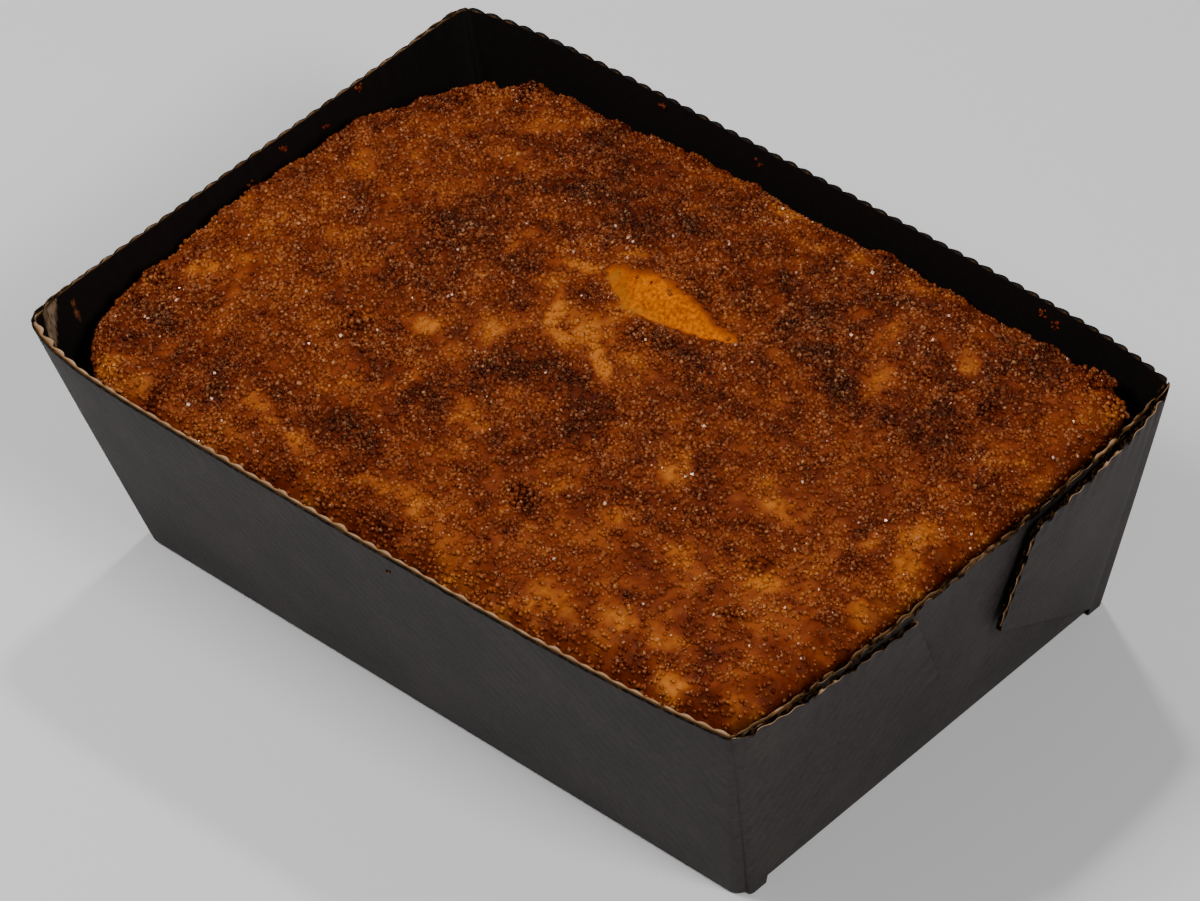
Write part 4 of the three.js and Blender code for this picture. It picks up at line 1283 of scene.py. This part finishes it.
# Crumbs stuck to the tray: wall number (anticlockwise from the front), share along it, height in mm, whether
# they sit outside, and grains in each
crumbs = [
    (3, 0.25, 48.4, False, 9),
    (3, 0.335, 46.2, False, 5),
    (3, 0.43, 47.6, False, 8),
    (3, 0.515, 45.4, False, 4),
    (2, 0.728, 47.8, False, 8),
    (2, 0.584, 46.4, False, 5),
    (2, 0.182, 47.2, False, 9),
    (2, 0.164, 46.0, False, 6),
    (1, 0.2, 44.4, True, 3),
    (1, 0.255, 44.7, True, 4),
    (1, 0.3, 42.6, True, 7),
    (0, 0.54, 44.4, True, 2),
    (1, 0.948, 1.2, True, 2),
]
crumbHeaps = {
    "seed": 300,
    "along": 0.45,  # spread of the grains round their place, along the wall and upwards
    "upwards": 0.35,
    "away": (-0.1, 0.25),  # least and most distance from the paper
    "size": (0.4, 0.8),
    "tone": (0.05, 0.5),
}


def looseCrumbs(spec):
    # a small heap of grains at each place, against the paper
    heap = crumbHeaps
    rng = np.random.default_rng(heap["seed"])
    wall, share, height, outside = (np.repeat(c, [k[4] for k in crumbs]) for c in list(zip(*crumbs))[:4])
    count = len(wall)
    away = rng.uniform(*heap["away"], count)
    inset = np.where(outside, -away, tray["paper"] + away)
    share = share + rng.normal(0, heap["along"], count) / wallLengths[wall]
    height = (height + rng.normal(0, heap["upwards"], count)) / tray["height"]
    spots = wallPoints(wall, share, height, inset, tray["foldRim"], tray["paper"])
    sizes = rng.uniform(*heap["size"], count)
    piece = grainsAt("looseCrumbs", spots, sizes, rng, sugarMaterial("crumb", spec), False)
    paintPoints(piece, "tone", np.repeat(rng.uniform(*heap["tone"], count), 8))
    paintPoints(piece, "glint", np.zeros(count * 8))
    return count


def sugarMaterial(name, spec):
    # the crust's tone shows through the grain, each grain a little lighter or darker
    m = Nodes(name + "Look")
    tone = crustTone(m, *crustNoise(m))
    tone = m.mix(spec["own"], tone, spec["colour"])
    # painted highlights: the glinting corners mix towards a pale tan
    tone = m.mix(m.attribute("glint"), tone, crustLook["glint"])
    return m.finish(Base_Color=tone, Roughness=spec["roughness"], IOR=sugarLook["refraction"],
                    Specular_IOR_Level=spec["specular"], Specular_Tint=(*spec["sheen"], 1))


paper = paperMaterial()
trayShell(paper)
for flapName, flap in flaps.items():
    flapPiece(flapName, flap, paper)
print("tray: shell and", len(flaps), "flaps")

cakeBody(crustMaterial())
print("cake: crust and sides")

for kind, spec in sugarKinds.items():
    piece = sugarPiece(kind, spec)
    print("sugar:", kind, len(piece.data.polygons) // 6, "grains")
print("crumbs on the tray:", looseCrumbs(sugarKinds["sugarBrown"]), "grains")


view = {
    "position": (710.1, -622.0, 872.3),  # mm, from the middle of the tray's base
    "azimuth": 48.83,
    "elevation": 41.84,
    "roll": -7.53,  # the photograph is turned this far
    "lens": 223.7,
    "sensor": 36.0,
    "nearest": 0.05,  # metres
}


def lookAxes(azimuth, elevation):
    # right, up and back of something that looks down at the tray from these angles, in degrees
    a, e = math.radians(azimuth), math.radians(elevation)
    right = np.array([math.cos(a), math.sin(a), 0])
    back = np.array([math.sin(a) * math.cos(e), -math.cos(a) * math.cos(e), math.sin(e)])
    return right, np.cross(back, right), back


def placed(thing, *columns):
    # gives an object its axes and place
    thing.matrix_world = Matrix(np.vstack([np.column_stack(columns), [0, 0, 0, 1]]).tolist())
    bpy.context.scene.collection.objects.link(thing)
    return thing


def makeCamera():
    # the axes of its azimuth and elevation, turned by the roll
    r = math.radians(view["roll"])
    right, up, back = lookAxes(view["azimuth"], view["elevation"])
    x = math.cos(r) * right + math.sin(r) * up
    y = -math.sin(r) * right + math.cos(r) * up
    place = np.array(view["position"]) * mm + baseMiddle
    data = bpy.data.cameras.new("camera")
    data.lens, data.sensor_width, data.clip_start = view["lens"], view["sensor"], view["nearest"]
    bpy.context.scene.camera = placed(bpy.data.objects.new("camera", data), x, y, back, place)


floorLook = {"size": 4.0, "below": 0.0002, "colour": (0.93, 0.93, 0.93), "roughness": 0.9}  # metres


def makeFloor():
    # one pale square just below the tray
    half = floorLook["size"] / 2
    corners = [(-half, -half, 0), (half, -half, 0), (half, half, 0), (-half, half, 0)]
    mesh = bpy.data.meshes.new("floor")
    mesh.from_pydata(corners, [], [(0, 1, 2, 3)])
    m = Nodes("paleFloor")
    mesh.materials.append(m.finish(Base_Color=(*floorLook["colour"], 1), Roughness=floorLook["roughness"]))
    floor = bpy.data.objects.new("floor", mesh)
    floor.location.z = -floorLook["below"]
    bpy.context.scene.collection.objects.link(floor)
    floor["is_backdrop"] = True


# Lamps: direction they shine from (azimuth, elevation in degrees), distance and size in metres, watts
lamps = {
    "keyLamp": (310, 54, 0.75, 0.28, 2.85),
    "fillLamp": (84, 42, 1.3, 0.4, 8.9),
    "backLamp": (215, 55, 1.2, 0.1, 3.5),
}
surround = {"colour": (1.0, 0.98, 0.96), "strength": 0.1}


def makeLights():
    # an even pale surround and three round lamps that face the tray
    world = bpy.data.worlds.new("studio")
    bpy.context.scene.world = world
    world.use_nodes = True
    background = world.node_tree.nodes["Background"]
    background.inputs["Color"].default_value = (*surround["colour"], 1)
    background.inputs["Strength"].default_value = surround["strength"]
    for name, (azimuth, elevation, distance, size, watts) in lamps.items():
        right, up, back = lookAxes(azimuth, elevation)
        data = bpy.data.lights.new(name, "AREA")
        data.shape, data.size, data.energy = "DISK", size, watts
        placed(bpy.data.objects.new(name, data), right, up, back, back * distance)


makeCamera()
makeFloor()
makeLights()
print("camera, floor and lights")

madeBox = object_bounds()
boxes = {"cad": cadBox, "visual": madeBox}
{key: [list(corner) for corner in value] for key, value in boxes.items()}
